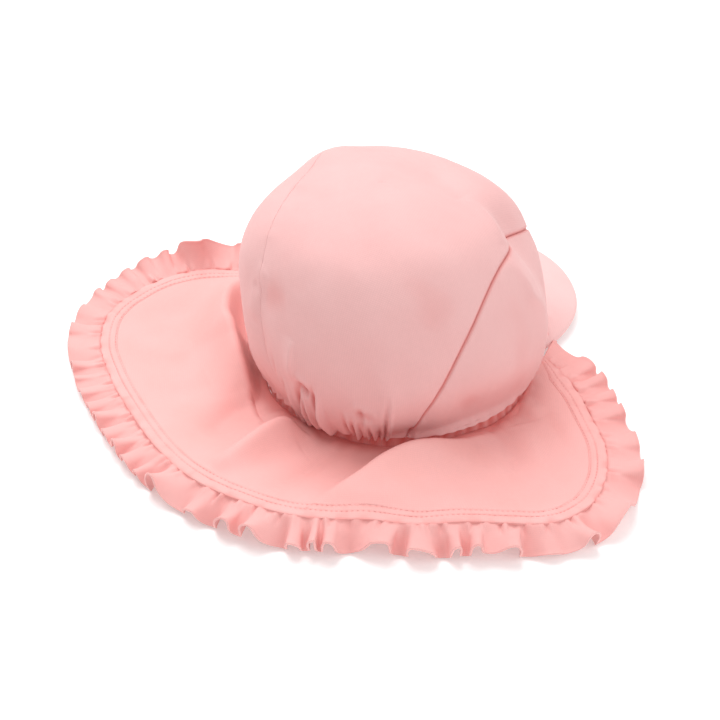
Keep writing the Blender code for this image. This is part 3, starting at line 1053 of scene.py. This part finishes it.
@dataclass
class Peak:
    """The stiff crescent peak, with twin topstitching along its root."""

    opening: HeadOpening
    length: float = 0.052
    root_height: float = 0.018
    edge_height: float = 0.011
    arch: float = 0.0045
    start: float = 132.8
    half_turn: float = 48.0
    wall: float = 0.0026
    stitch_rows: tuple[float, ...] = (0.0078, 0.0104)
    stitch_dip: float = 0.00060
    stitch_dip_width: float = 0.0007

    def reach(self, angle: Array) -> Array:
        """How far the peak reaches out at that angle."""
        return self.length * (1 - np.abs((angle - 180) / self.half_turn) ** 2.2) ** 0.75

    def surface(self, angle: Array, out: Array) -> Array:
        """The peak's upper face.

        Args:
            angle: degrees from the nape, 180 straight ahead.
            out: 0 at the band, 1 at the free edge.

        Returns:
            Its points.
        """
        side = (angle - 180) / self.half_turn
        high_root = self.root_height * (1 - 0.61 * side**2)
        high_edge = self.edge_height * (1 - 0.55 * side**2)
        arch = self.arch * np.sin(math.pi * out) * (1 - side**2)
        root = self.opening.band_radius(angle, high_root - self.wall) + self.opening.gap
        height = high_root + (high_edge - high_root) * out + arch
        run = self.reach(angle) * out
        relief = 0.0005 * cloth_noise(angle * 0.9, run * 900, 9.0, 31)
        for row in self.stitch_rows:
            relief -= self.stitch_dip * bell(run - row, self.stitch_dip_width)
        wrinkle = bell(angle - 146 - 3 * np.sin(run * 260), 2.2) * bell(run - 0.008, 0.007)
        return around(angle, root + run, height + relief + 0.0010 * wrinkle)

    def build(self, origin: Array, cloth: bpy.types.Material, thread: bpy.types.Material) -> None:
        """Makes the peak and its topstitching.

        Args:
            origin: where the opening's centre is in the frame.
            cloth: the peak's finish.
            thread: the stitching's finish.
        """
        turn = np.linspace(self.start, 360 - self.start, 170)
        near_edge = 0.93 + 0.07 * np.sin(np.linspace(0.15, math.pi / 2, 8))
        spaced = np.concatenate([np.linspace(0, 0.93, 46), near_edge])
        angle, out = np.meshgrid(turn, spaced, indexing="ij")
        top = self.surface(angle, out)
        # The free edge is rounded over the insert.
        roll = np.sqrt(np.clip(1 - np.clip((out - 0.95) / 0.05, 0, 1) ** 2, 0.02, 1))
        middle = top - [0, 0, self.wall / 2]
        half = (roll * self.wall / 2)[..., None] * UP
        sheet = ClothSheet("peak_cloth", middle + half, middle - half)
        dress(sheet.build(origin, cloth), Slot.PEAK, "peak")
        paths = []
        sweep = np.linspace(self.start + 5, 355 - self.start, 160)
        for row in self.stitch_rows:
            paths.append(self.surface(sweep, row / self.reach(sweep)) + [0, 0, 0.00012])
        rows = StitchRow(pitch=0.0028, length=0.0022).build("peak_stitching", paths, origin, thread)
        dress(rows, Slot.PEAK)


@dataclass
class ElasticCasing:
    """The gathered casing that holds the elastic, from temple to temple round the nape."""

    opening: HeadOpening
    wall: float = 0.0022
    gathers: int = 38
    belly: float = 0.0008
    joint_angle: float = 26.0

    def build(self, origin: Array, cloth: bpy.types.Material) -> None:
        """Makes the casing.

        Args:
            origin: where the opening's centre is in the frame.
            cloth: its finish.
        """
        rim = self.opening
        angle = np.linspace(-rim.casing_end, rim.casing_end, 640)[None]
        share = seam_spaced(12, rim.casing_height)[:, None]
        phase = (angle / rim.casing_end + 1) * self.gathers
        wander = 0.8 * cloth_noise(angle, share * 9, 7.0, 41)
        fold = 0.5 + 0.5 * np.cos(math.pi * phase + wander)
        fine = cloth_noise(angle, share * 2, 1.3, 42)
        across = np.sin(math.pi * share)
        relief = rim.gather_depth * (fold * (0.4 + 0.6 * across) + 0.25 * fine)
        relief = relief - self.belly * across - 0.0007 * bell(angle - self.joint_angle, 0.5)
        height = share * rim.casing_height
        radius = rim.radius(angle)
        outer = around(angle, radius + relief, height)
        inner = around(angle, radius - self.wall, height)
        # Painted shade: the whole casing is darkened for the shade under the crown's overhang, and more in
        # the gathers' valleys.
        sheet = ClothSheet("elastic_casing_cloth", outer, inner, 0.45 + 0.4 * np.clip(1 - fold, 0, 1))
        dress(sheet.build(origin, cloth), Slot.TRIM, "elastic_casing")


@dataclass
class NeckFlap:
    """The wide flap that spreads over the floor, with its folds and its stitched hem."""

    opening: HeadOpening
    crown: Crown
    reach: float = 0.168
    hem_width: float = 0.0095
    hem_lift: float = 0.013
    fold_height: float = 0.016
    root_height: float = 0.0030
    wall: float = 0.0015
    hem_wall: float = 0.0018
    under_crown: float = 0.0070
    stitch_rows: tuple[float, ...] = (0.0052, 0.0086)
    stitch_pitch: float = 0.0026
    # Its outer edge from above: shares of reach and of hem_lift, and how far the ruffle stands up there
    outline: dict[str, list[float]] = field(
        default_factory=lambda: {
            "angle": [-127, -115, -104, -94, -85, -77, -68, -56, -41, -25, -12, -1, 8, 17, 25, 34,
                      43, 51, 59, 67, 76, 86, 95, 107, 117, 127],
            "reach": [0.475, 0.590, 0.745, 0.885, 0.965, 1.000, 0.980, 0.918, 0.868, 0.862, 0.868,
                      0.862, 0.858, 0.836, 0.812, 0.838, 0.845, 0.882, 0.925, 0.915, 0.855, 0.765,
                      0.675, 0.590, 0.530, 0.475],
            "lift": [0.28, 0.40, 0.55, 0.55, 0.40, 0.25, 0.22, 0.30, 0.50, 0.72, 0.85, 0.95, 1.0,
                     1.0, 0.92, 1.0, 1.0, 0.95, 0.85, 0.70, 0.55, 0.42, 0.32, 0.28, 0.25, 0.25],
            "stand": [0.0, 0.25, 0.75, 1.05, 0.35, 0.0, 0.0, 0.0, 0.0, 0.0, 0.0, 0.0, 0.0, 0.0,
                      0.0, 0.0, 0.0, 0.0, 0.0, 0.0, 0.0, 0.0, 0.1, 0.15, 0.1, 0.0],
        }
    )
    # Folds as (angle, share of reach) paths, with heights and half widths as shares
    folds: tuple[Crease, ...] = (
        Crease(((74, 0.47), (58, 0.46), (43, 0.50), (29, 0.565), (21, 0.66), (14, 0.77)),
               1.2, 0.115, 0.034, 1.4, (0.05, 0.45, 0.85, 0.90, 0.60, 0.14)),
        Crease(((-8, 0.47), (-11, 0.52), (-11, 0.61), (-11, 0.72), (-12, 0.80)),
               1.3, 0.050, 0.050, 1.35, (0.35, 0.70, 0.75, 0.50, 0.12)),
        Crease(((-100, 0.69), (-88, 0.625), (-76, 0.575), (-66, 0.53), (-54, 0.50), (-41, 0.49)),
               1.35, 0.030, 0.085, 1.3, (0.15, 0.75, 1.0, 1.0, 0.85, 0.50)),
        Crease(((-41, 0.47), (-34, 0.54), (-29, 0.62), (-27, 0.70)),
               -0.45, 0.060, 0.060, 2.0, (0.6, 1.0, 0.8, 0.2)),
    )
    # Lesser creases in the same coordinates
    creases: tuple[Crease, ...] = (
        Crease(((8, 0.47), (6, 0.55), (4, 0.66), (2, 0.78)), -0.14, 0.030, 0.030),
        Crease(((40, 0.60), (33, 0.68), (28, 0.76)), 0.08, 0.040, 0.040),
        Crease(((62, 0.52), (58, 0.64), (57, 0.78)), 0.10, 0.030, 0.060),
        Crease(((80, 0.52), (72, 0.62), (66, 0.76)), 0.10, 0.025, 0.050),
        Crease(((-48, 0.60), (-47, 0.70), (-50, 0.80)), -0.09, 0.050, 0.050),
        Crease(((-66, 0.66), (-64, 0.76), (-68, 0.88)), 0.09, 0.040, 0.060),
        Crease(((-84, 0.70), (-80, 0.80), (-79, 0.90)), -0.08, 0.050, 0.050),
        Crease(((95, 0.50), (88, 0.56), (80, 0.68)), -0.08, 0.030, 0.030),
    )

    fine_angle: Array = field(init=False)
    fine_share: Array = field(init=False)
    edge_length: float = field(init=False)

    def __post_init__(self) -> None:
        """Measures the outline once."""
        self.fine_angle = np.linspace(self.outline["angle"][0], self.outline["angle"][-1], 800)
        plan = self.plan_at(self.fine_angle)
        length = np.append(0, np.cumsum(np.linalg.norm(np.diff(plan, axis=0), axis=1)))
        self.edge_length = float(length[-1])
        self.fine_share = length / self.edge_length

    def plan_at(self, angle: Array) -> Array:
        """The outer edge seen from above at that angle."""
        reach = smooth(angle, self.outline["angle"], self.outline["reach"]) * self.reach
        return around(angle, reach, 0.0)[..., :2]

    def edge(self, share: Array) -> tuple[Array, Array, Array, Array]:
        """Follows the outer edge.

        Args:
            share: share of its length from the wearer's left temple.

        Returns:
            Plan points, outward directions, heights, and how far the ruffle stands.
        """
        at = np.interp(share, self.fine_share, self.fine_angle)
        way = self.plan_at(at + 0.6) - self.plan_at(at - 0.6)
        outward = np.stack([-way[..., 1], way[..., 0]], axis=-1)
        outward /= np.linalg.norm(outward, axis=-1, keepdims=True)
        edge = self.plan_at(at)
        outward *= np.sign((outward * edge).sum(axis=-1, keepdims=True))
        lift = smooth(at, self.outline["angle"], self.outline["lift"]) * self.hem_lift
        stand = smooth(at, self.outline["angle"], self.outline["stand"])
        return edge, outward, lift, stand

    def root(self, share: Array) -> Array:
        """The flap's inner edge along the casing.

        Args:
            share: share of its length from the wearer's left temple.

        Returns:
            Its points seen from above.
        """
        angle = (2 * share - 1) * self.opening.casing_end
        radius = self.opening.radius(angle) + self.opening.gather_depth + self.opening.gap
        return around(angle, radius, 0.0)[..., :2]

    def hem_widths(self, edge: Array) -> Array:
        """Hem width along the edge, narrower where the flap ends at the temples.

        Args:
            edge: points of the outer edge seen from above.

        Returns:
            The width at each point.
        """
        room = np.linalg.norm(edge, axis=-1) - self.opening.radius(angle_of(edge))
        room -= self.opening.gather_depth + self.opening.gap
        return np.minimum(self.hem_width, 0.55 * room)

    def scaled(self, crease: Crease) -> Crease:
        """Turns a crease of angles and shares into one of metres.

        Args:
            crease: the crease, with its path as angles and shares of reach.

        Returns:
            The same crease in metres.
        """
        path = np.array(crease.path)
        line = around(path[:, 0], path[:, 1] * self.reach, 0.0)[:, :2]
        return replace(
            crease,
            path=tuple(map(tuple, line.tolist())),
            height=crease.height * self.fold_height,
            left=crease.left * self.reach,
            right=crease.right * self.reach,
        )

    def height(self, plan: Array, out: Array, lift: Array) -> Array:
        """Height of the flap's lower face.

        Args:
            plan: points seen from above.
            out: 0 at the casing, 1 at the hem's outer edge.
            lift: height of the hem there.

        Returns:
            The height.
        """
        floor = np.maximum(lift, 0.0012)
        base = self.root_height + (floor - self.root_height) * ease(out, 0.0, 1.0)
        folds = sum(self.scaled(c).relief(plan) for c in (*self.folds, *self.creases))
        angle = angle_of(plan)
        # Gathers fan out from the elastic and die away over some 25 mm.
        fan = 0.0
        for seed, apart, depth, reach in ((51, 6.5, 0.0018, 0.45), (52, 3.6, 0.0006, 0.22)):
            ridge = cloth_noise(angle + 6 * out, out * 2.0, apart, seed)
            fan = fan + depth * ridge * ease(out, 0.01, 0.05) * (1 - ease(out, 0.2 * reach, reach))
        swell = 0.0006 * cloth_noise(plan[..., 0], plan[..., 1], 0.030, 53)
        swell = swell + 0.0002 * cloth_noise(plan[..., 0], plan[..., 1], 0.010, 54)
        height = base + (folds + fan) * (1 - ease(out, 0.75, 1.0)) + swell * ease(out, 0.05, 0.3)
        room = np.linalg.norm(plan, axis=-1)
        room = room / oval(angle, self.crown.width, self.crown.back, self.crown.front)
        ceiling = self.under_crown + 0.17 * np.maximum(room - 0.94, 0)
        soft = 0.0007
        height = -soft * np.logaddexp(-height / soft, -ceiling / soft)
        return above_floor(height, soft)

    def build(self, origin: Array, cloth: bpy.types.Material) -> bpy.types.Object:
        """Makes the flap.

        Args:
            origin: where the opening's centre is in the frame.
            cloth: its finish.

        Returns:
            The flap.
        """
        share = np.linspace(0, 1, 480)
        edge, outward, lift, _ = self.edge(share)
        width = self.hem_widths(edge)
        outer = edge - outward * (width - 0.0003)[:, None]
        root = self.root(share)
        f = np.linspace(0, 1, 100)[None, :, None]
        plan = root[:, None] + (outer - root)[:, None] * f
        out = f[..., 0] * (1 - (width / np.linalg.norm(edge - root, axis=1)))[:, None]
        height = self.height(plan, out, lift[:, None])
        for _ in range(2):
            height[1:-1, 1:-1] = (
                2 * height[1:-1, 1:-1]
                + height[:-2, 1:-1]
                + height[2:, 1:-1]
                + height[1:-1, :-2]
                + height[1:-1, 2:]
            ) / 6
        low = np.concatenate([plan, height[..., None]], axis=-1)
        up = surface_normal(low, UP)
        # Painted shade near the root, where the crown overhangs the flap.
        shade = np.broadcast_to(0.7 * (1 - ease(out, 0.0, 0.15)), height.shape)
        sheet = ClothSheet("neck_flap_cloth", low + self.wall * up, low, shade)
        return dress(sheet.build(origin, cloth), Slot.FLAP, "neck_flap")

    def hem_surface(self, share: Array, back: Array) -> tuple[Array, Array]:
        """The hem's lower face and its relief.

        Args:
            share: share of the edge's length.
            back: distance in from the outer edge, as a share of the hem's width.

        Returns:
            Points of the lower face, and the height of the upper face's relief.
        """
        edge, outward, lift, _ = self.edge(share)
        width = self.hem_widths(edge)
        plan = edge - outward * (back * width)[..., None]
        reach = np.linalg.norm(edge - self.root(share), axis=-1)
        height = self.height(plan, 1 - back * width / reach, lift)
        low = np.concatenate([plan, height[..., None]], axis=-1)
        inward = back * self.hem_width
        run = share * self.edge_length
        relief = 0.00030 * cloth_noise(run, inward * 0.5, 0.0032, 61) * bell(inward, 0.0035)
        relief += 0.00012 * cloth_noise(run, inward, 0.0040, 62)
        for row in self.stitch_rows:
            pull = 0.00022 + 0.00014 * np.cos(2 * math.pi * run / self.stitch_pitch)
            relief -= pull * bell(inward - row, 0.0005)
        relief = relief - 0.0004 * bell(inward, 0.0008)
        return low, relief - 0.00015 * bell(self.hem_width - inward, 0.0005)

    def build_hem(
        self, origin: Array, cloth: bpy.types.Material, thread: bpy.types.Material
    ) -> list[bpy.types.Object]:
        """Makes the hem and its two rows of stitching.

        Args:
            origin: where the opening's centre is in the frame.
            cloth: the hem's finish.
            thread: the stitching's finish.

        Returns:
            The hem and the stitching.
        """
        share, back = np.meshgrid(np.linspace(0, 1, 900), seam_spaced(16, self.hem_width), indexing="ij")
        low, relief = self.hem_surface(share, back)
        up = surface_normal(low, UP)
        high = low + (self.hem_wall + relief)[..., None] * up
        # Painted shade in the dents of the stitch rows and along the hem's edges.
        sheet = ClothSheet("hem_band_cloth", high, low, np.clip(-relief / 0.0005, 0, 1) * 0.4)
        hem = dress(sheet.build(origin, cloth), Slot.FLAP, "hem_band")
        paths = []
        run = np.linspace(0.012, 0.988, 900)
        for row in self.stitch_rows:
            low, relief = self.hem_surface(run, np.full_like(run, row / self.hem_width))
            paths.append(low + (self.hem_wall + relief)[:, None] * UP)
        rows = StitchRow(pitch=self.stitch_pitch, length=0.0017, thickness=0.00052)
        rows = rows.build("hem_stitching", paths, origin, thread)
        return [hem, dress(rows, Slot.FLAP)]


@dataclass
class Ruffle:
    """The gathered ruffle sewn to the hem's edge: lying or standing at the sides, hanging behind."""

    flap: NeckFlap
    width: float = 0.018
    stand_degrees: float = 66.0
    rise_degrees: float = 42.0
    loop: float = 0.18
    end_fan: float = 0.008
    wall: float = 0.0007
    # Its pleats as (share of the edge's length, fall). Fall is 1 where the cloth dips lowest and 0 on a
    # crest, or less on a higher one.
    pleats: tuple[tuple[float, float], ...] = (
        (-0.012, 0.9), (0.000, 0.2), (0.014, 0.9), (0.024, 0.2), (0.036, 1.0), (0.046, 0.1),
        (0.058, 0.8), (0.070, 0.3), (0.082, 0.9), (0.090, 0.3), (0.101, 0.7), (0.124, -0.2),
        (0.1425, 1.0), (0.1500, 0.60), (0.1565, 0.80), (0.1640, 0.50), (0.1715, 0.80), (0.1790, 0.45),
        (0.1860, 0.75), (0.1925, 0.50), (0.1990, 0.85), (0.2060, 0.40), (0.2160, 0.75), (0.2240, 0.45),
        (0.2370, 1.0), (0.2445, 0.10), (0.2570, 0.70), (0.2660, 0.40), (0.2850, 1.0), (0.2930, 0.05),
        (0.3040, 0.85), (0.3110, 0.40), (0.3205, 0.8), (0.3290, 0.25), (0.3390, 0.95), (0.3460, 0.35),
        (0.3570, 0.85), (0.3660, 0.15), (0.3770, 1.0), (0.3840, 0.40), (0.3950, 0.8), (0.4060, 0.20),
        (0.4130, 0.85), (0.4210, 0.40), (0.4330, 0.9), (0.4400, 0.50), (0.4520, 1.0), (0.4590, 0.0),
        (0.4860, 0.90), (0.4980, 0.35), (0.5116, 1.0), (0.5250, 0.05), (0.5340, 0.70), (0.5430, 0.0),
        (0.5630, 1.0), (0.5685, 0.30), (0.5780, 0.90), (0.5840, 0.15), (0.5880, 0.75), (0.5930, 0.15),
        (0.6064, 1.0), (0.6390, 0.10), (0.6480, 1.0), (0.6550, 0.15), (0.6720, 1.0), (0.6835, 0.15),
        (0.6900, 0.85), (0.7000, 0.10), (0.7065, 0.55), (0.7260, 0.10), (0.7335, 1.0), (0.7480, 0.65),
        (0.7560, 0.85), (0.7710, 0.15), (0.7770, 1.0), (0.8040, 0.15), (0.8350, 1.0), (0.8460, 0.05),
        (0.8665, 0.9), (0.8790, 0.2), (0.9030, 1.0), (0.9130, 0.1), (0.9270, 0.8), (0.9350, 0.3),
        (0.9440, 0.9), (0.9520, 0.1), (0.9600, 1.0), (0.9700, 0.2), (0.9850, 0.8), (1.0000, 0.3),
        (1.010, 0.8),
    )

    def middle(self, cycle: Array, f: Array) -> Array:
        """The ruffle's middle surface.

        Args:
            cycle: place along it, whole at each dip and each crest.
            f: 0 at the hem, 1 at the free edge.

        Returns:
            Its points.
        """
        at, falls = np.array(self.pleats).T
        knot = np.clip(np.floor(cycle).astype(int), 0, len(at) - 2)
        part = cycle - knot
        fall = falls[knot] + (falls[knot + 1] - falls[knot]) * ease(part, 0, 1)
        long = at[knot + 1] - at[knot]
        # The cloth folds back on itself on a steep side, so a pleat's wall loops under its crest.
        steep = np.clip((0.011 / long) ** 2, 0.15, 1.4) * np.abs(falls[knot + 1] - falls[knot])
        lean = 0.35 * long * f * np.sin(math.pi * part) * cloth_noise(cycle, 0 * cycle, 2.0, 72)
        run = (at[knot] + long * part) * self.flap.edge_length
        slide = self.loop * steep * f**0.8 * np.sin(2 * math.pi * part)
        share = np.clip(at[knot] + long * (part + slide) + lean, 0, 1)
        edge, outward, lift, stand = self.flap.edge(share)
        near_end = np.minimum(share, 1 - share)
        width = self.width * (0.8 + 0.2 * ease(near_end, 0.0, 0.03))
        width = width * (1 - 0.1 * ease(lift, 0.008, 0.012))
        width = width * (1 + 0.05 * cloth_noise(cycle, 0 * cycle, 3.0, 71))
        hang = np.arcsin(np.clip(lift / width, 0, 0.94))
        hanging = ease(lift, 0.004, 0.010)
        rise = math.radians(self.rise_degrees) * (0.62 + 0.5 * hanging) + 0.5 * hang
        lying = hang - rise * (1 - fall) * (0.5 + 0.5 * f)
        standing = -math.radians(self.stand_degrees) * (1 - 0.9 * fall) * (0.6 + 0.5 * f)
        stand = np.clip(stand, 0, 1)
        tilt = lying * (0.75 + 0.45 * f) * (1 - stand) + standing * stand
        step = np.diff(f, axis=0, prepend=f[:1]) * width
        out = np.cumsum(step * np.cos(tilt), axis=0) - 0.0005
        down = np.cumsum(step * np.sin(tilt), axis=0)
        # Small tucks stand up along the seam.
        tuck = cloth_noise(run, 0 * run, 0.0022, 75) * (1 - ease(f, 0.05, 0.50)) * ease(f, 0, 0.06)
        ripple = cloth_noise(run, f * 0.006, 0.005, 73) * f
        height = lift + 0.0010 - down + 0.0019 * tuck + 0.0006 * ripple
        height = above_floor(height, 0.0005)
        # Its two ends fan out past the hem.
        fan = np.sign(share - 0.5) * (1 - ease(near_end, 0.0, 0.03)) * f * self.end_fan
        along = np.stack([-outward[..., 1], outward[..., 0]], axis=-1)
        plan = edge + outward * out[..., None] + along * fan[..., None]
        return np.concatenate([plan, height[..., None]], axis=-1)

    def build(self, origin: Array, cloth: bpy.types.Material) -> bpy.types.Object:
        """Makes the ruffle.

        Args:
            origin: where the opening's centre is in the frame.
            cloth: its finish.

        Returns:
            The ruffle.
        """
        at = [share for share, _ in self.pleats]
        ends = np.interp([0, 1], at, np.arange(len(at)))
        f = np.concatenate([np.linspace(0, 0.95, 20), [0.975, 1.0]])
        f, cycle = np.meshgrid(f, np.linspace(*ends, 1900), indexing="ij")
        middle = self.middle(cycle, f)
        normal = surface_normal(middle, UP)
        way = np.cross(np.gradient(middle, axis=0), np.gradient(middle, axis=1))
        flipped = np.sign((normal * way).sum(axis=-1, keepdims=True))
        normal = normal * flipped * np.sign(flipped.mean())
        # The free edge is a narrow rolled hem.
        half = (0.5 * self.wall * (1 + 0.7 * ease(f, 0.93, 0.98)))[..., None] * normal
        fall = np.interp(cycle, np.arange(len(at)), [fall for _, fall in self.pleats])
        # Painted shade in the pleats' valleys and along the seam at the hem.
        painted_shade = 0.30 * np.clip(fall, 0, 1) ** 3 * ease(f, 0.0, 0.15) * (1 - 0.6 * f)
        painted_shade = painted_shade + 0.5 * (1 - ease(f, 0.0, 0.08))
        sheet = ClothSheet("ruffle_cloth", middle + half, middle - half, painted_shade)
        return dress(sheet.build(origin, cloth), Slot.TRIM, "ruffle")


@dataclass(frozen=True)
class SoftLight:
    """A round soft light, with its place from the opening along the camera's axes, and its watts."""

    name: str
    right: float
    ahead: float
    up: float
    power: float
    size: float = 1.2

    def build(self, place: Vector) -> None:
        """Hangs it, facing the cap.

        Args:
            place: where it hangs.
        """
        data = bpy.data.lights.new(self.name, "AREA")
        data.shape = "DISK"
        data.size, data.energy = self.size, self.power
        lamp = new_object(self.name, data)
        lamp.location = place
        lamp.rotation_euler = (Vector((0, 0, 0.04)) - place).to_track_quat("-Z", "Y").to_euler()


@dataclass
class Studio:
    """The pale floor, the soft lights and the camera of the photo."""

    turn_degrees: float = 31.0
    drop_degrees: float = 36.0
    distance: float = 1.0
    lens_mm: float = 92.5
    sensor_mm: float = 36.0
    frame_px: int = 720
    opening_px: tuple[float, float] = (396.0, 373.0)
    floor_half: float = 2.5
    floor_glow: float = 0.24
    room_light: float = 0.56
    lights: tuple[SoftLight, ...] = (
        SoftLight("key", -0.26, 0.40, 1.0, 11.0),
        SoftLight("fill", 0.8, -0.7, 0.8, 4.4),
    )

    def directions(self) -> tuple[Vector, Vector, Vector]:
        """Finds how the camera is turned.

        Returns:
            Its way ahead on the floor, its right and its upward direction.
        """
        turn, drop = math.radians(self.turn_degrees), math.radians(self.drop_degrees)
        ahead = Vector((math.sin(turn), -math.cos(turn), 0.0))
        right = Vector((-math.cos(turn), -math.sin(turn), 0.0))
        up = ahead * math.sin(drop) + Vector((0, 0, math.cos(drop)))
        return ahead, right, up

    def build(self, origin: Array) -> None:
        """Sets the stage.

        Args:
            origin: where the opening's centre is in the frame.
        """
        ahead, right, up = self.directions()
        look = right.cross(up) * -1
        half = self.frame_px / 2
        scale = self.distance / (self.lens_mm / self.sensor_mm * self.frame_px)
        place = Vector(origin) - look * self.distance
        place -= right * (self.opening_px[0] - half) * scale
        place -= up * (half - self.opening_px[1]) * scale
        data = bpy.data.cameras.new("camera")
        data.lens, data.sensor_width = self.lens_mm, self.sensor_mm
        data.clip_start, data.clip_end = 0.05, 20.0
        camera = new_object("camera", data)
        turned = Matrix((right, up, -look)).transposed().to_4x4()
        camera.matrix_world = Matrix.Translation(place) @ turned
        bpy.context.scene.camera = camera
        self.floor()
        for light in self.lights:
            aside = right * light.right + ahead * light.ahead
            light.build(Vector(origin) + aside + Vector((0, 0, light.up)))
        self.world(self.room_light)
        view = bpy.context.scene.view_settings
        view.view_transform = "Standard"
        view.look = "None"

    def floor(self) -> None:
        """Lays the floor."""
        h = self.floor_half
        mesh = bpy.data.meshes.new("studio_floor")
        mesh.from_pydata([(-h, -h, 0), (h, -h, 0), (h, h, 0), (-h, h, 0)], [], [(0, 1, 2, 3)])
        mesh.materials.append(StudioBoard("white_studio_board", "f6f6f6", self.floor_glow).material())
        new_object("studio_floor", mesh)

    @staticmethod
    def world(strength: float) -> None:
        """Fills the room with even white light.

        Args:
            strength: the light's strength.
        """
        world = bpy.data.worlds.new("studio")
        world.use_nodes = True
        shade = world.node_tree.nodes["Background"]
        shade.inputs["Color"].default_value = linear("ffffff")
        shade.inputs["Strength"].default_value = strength
        bpy.context.scene.world = world


def main() -> None:
    """Loads the frame, dresses every CAD piece, and sets the studio."""
    logging.basicConfig(level=logging.INFO, format="%(name)s %(message)s")
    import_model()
    opening = HeadOpening()
    low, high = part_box("front_band")
    origin = np.array([(low.x + high.x) / 2, low.y + opening.front, 0.0])
    # One pink jersey makes the whole cap. Its copies differ only as painted light and shade: the crown's
    # colours are painted darker, as painted shade, the peak's lighter, as painted light, and the trim's a
    # little darker than the flap's.
    crown_cloth = SwimJersey("pink_swim_jersey_painted_shade", "ebb9b7", "e9b4b2", "d8746e").material()
    flap_cloth = SwimJersey("pink_swim_jersey", "f9bbb7", "f7b6b1", "e0756f").material()
    trim_cloth = SwimJersey("gathered_pink_swim_jersey", "f6b9b5", "f4b4b0", "df716b").material()
    peak_cloth = SwimJersey(
        "pink_swim_jersey_over_foam_painted_light", "f5c9c7", "f2c4c2", "e8a09c", knit_bump=0.12
    ).material()
    thread = SewingThread("pink_polyester_thread", "ee9f9b").material()
    crown = Crown(opening)
    crown.build(origin, crown_cloth)
    FrontBand(opening).build(origin, crown_cloth)
    Peak(opening).build(origin, peak_cloth, thread)
    ElasticCasing(opening).build(origin, trim_cloth)
    flap = NeckFlap(opening, crown)
    flap_piece = flap.build(origin, flap_cloth)
    hem_pieces = flap.build_hem(origin, flap_cloth, thread)
    ruffle_piece = Ruffle(flap).build(origin, trim_cloth)
    Studio().build(origin)


if __name__ == "__main__":
    main()
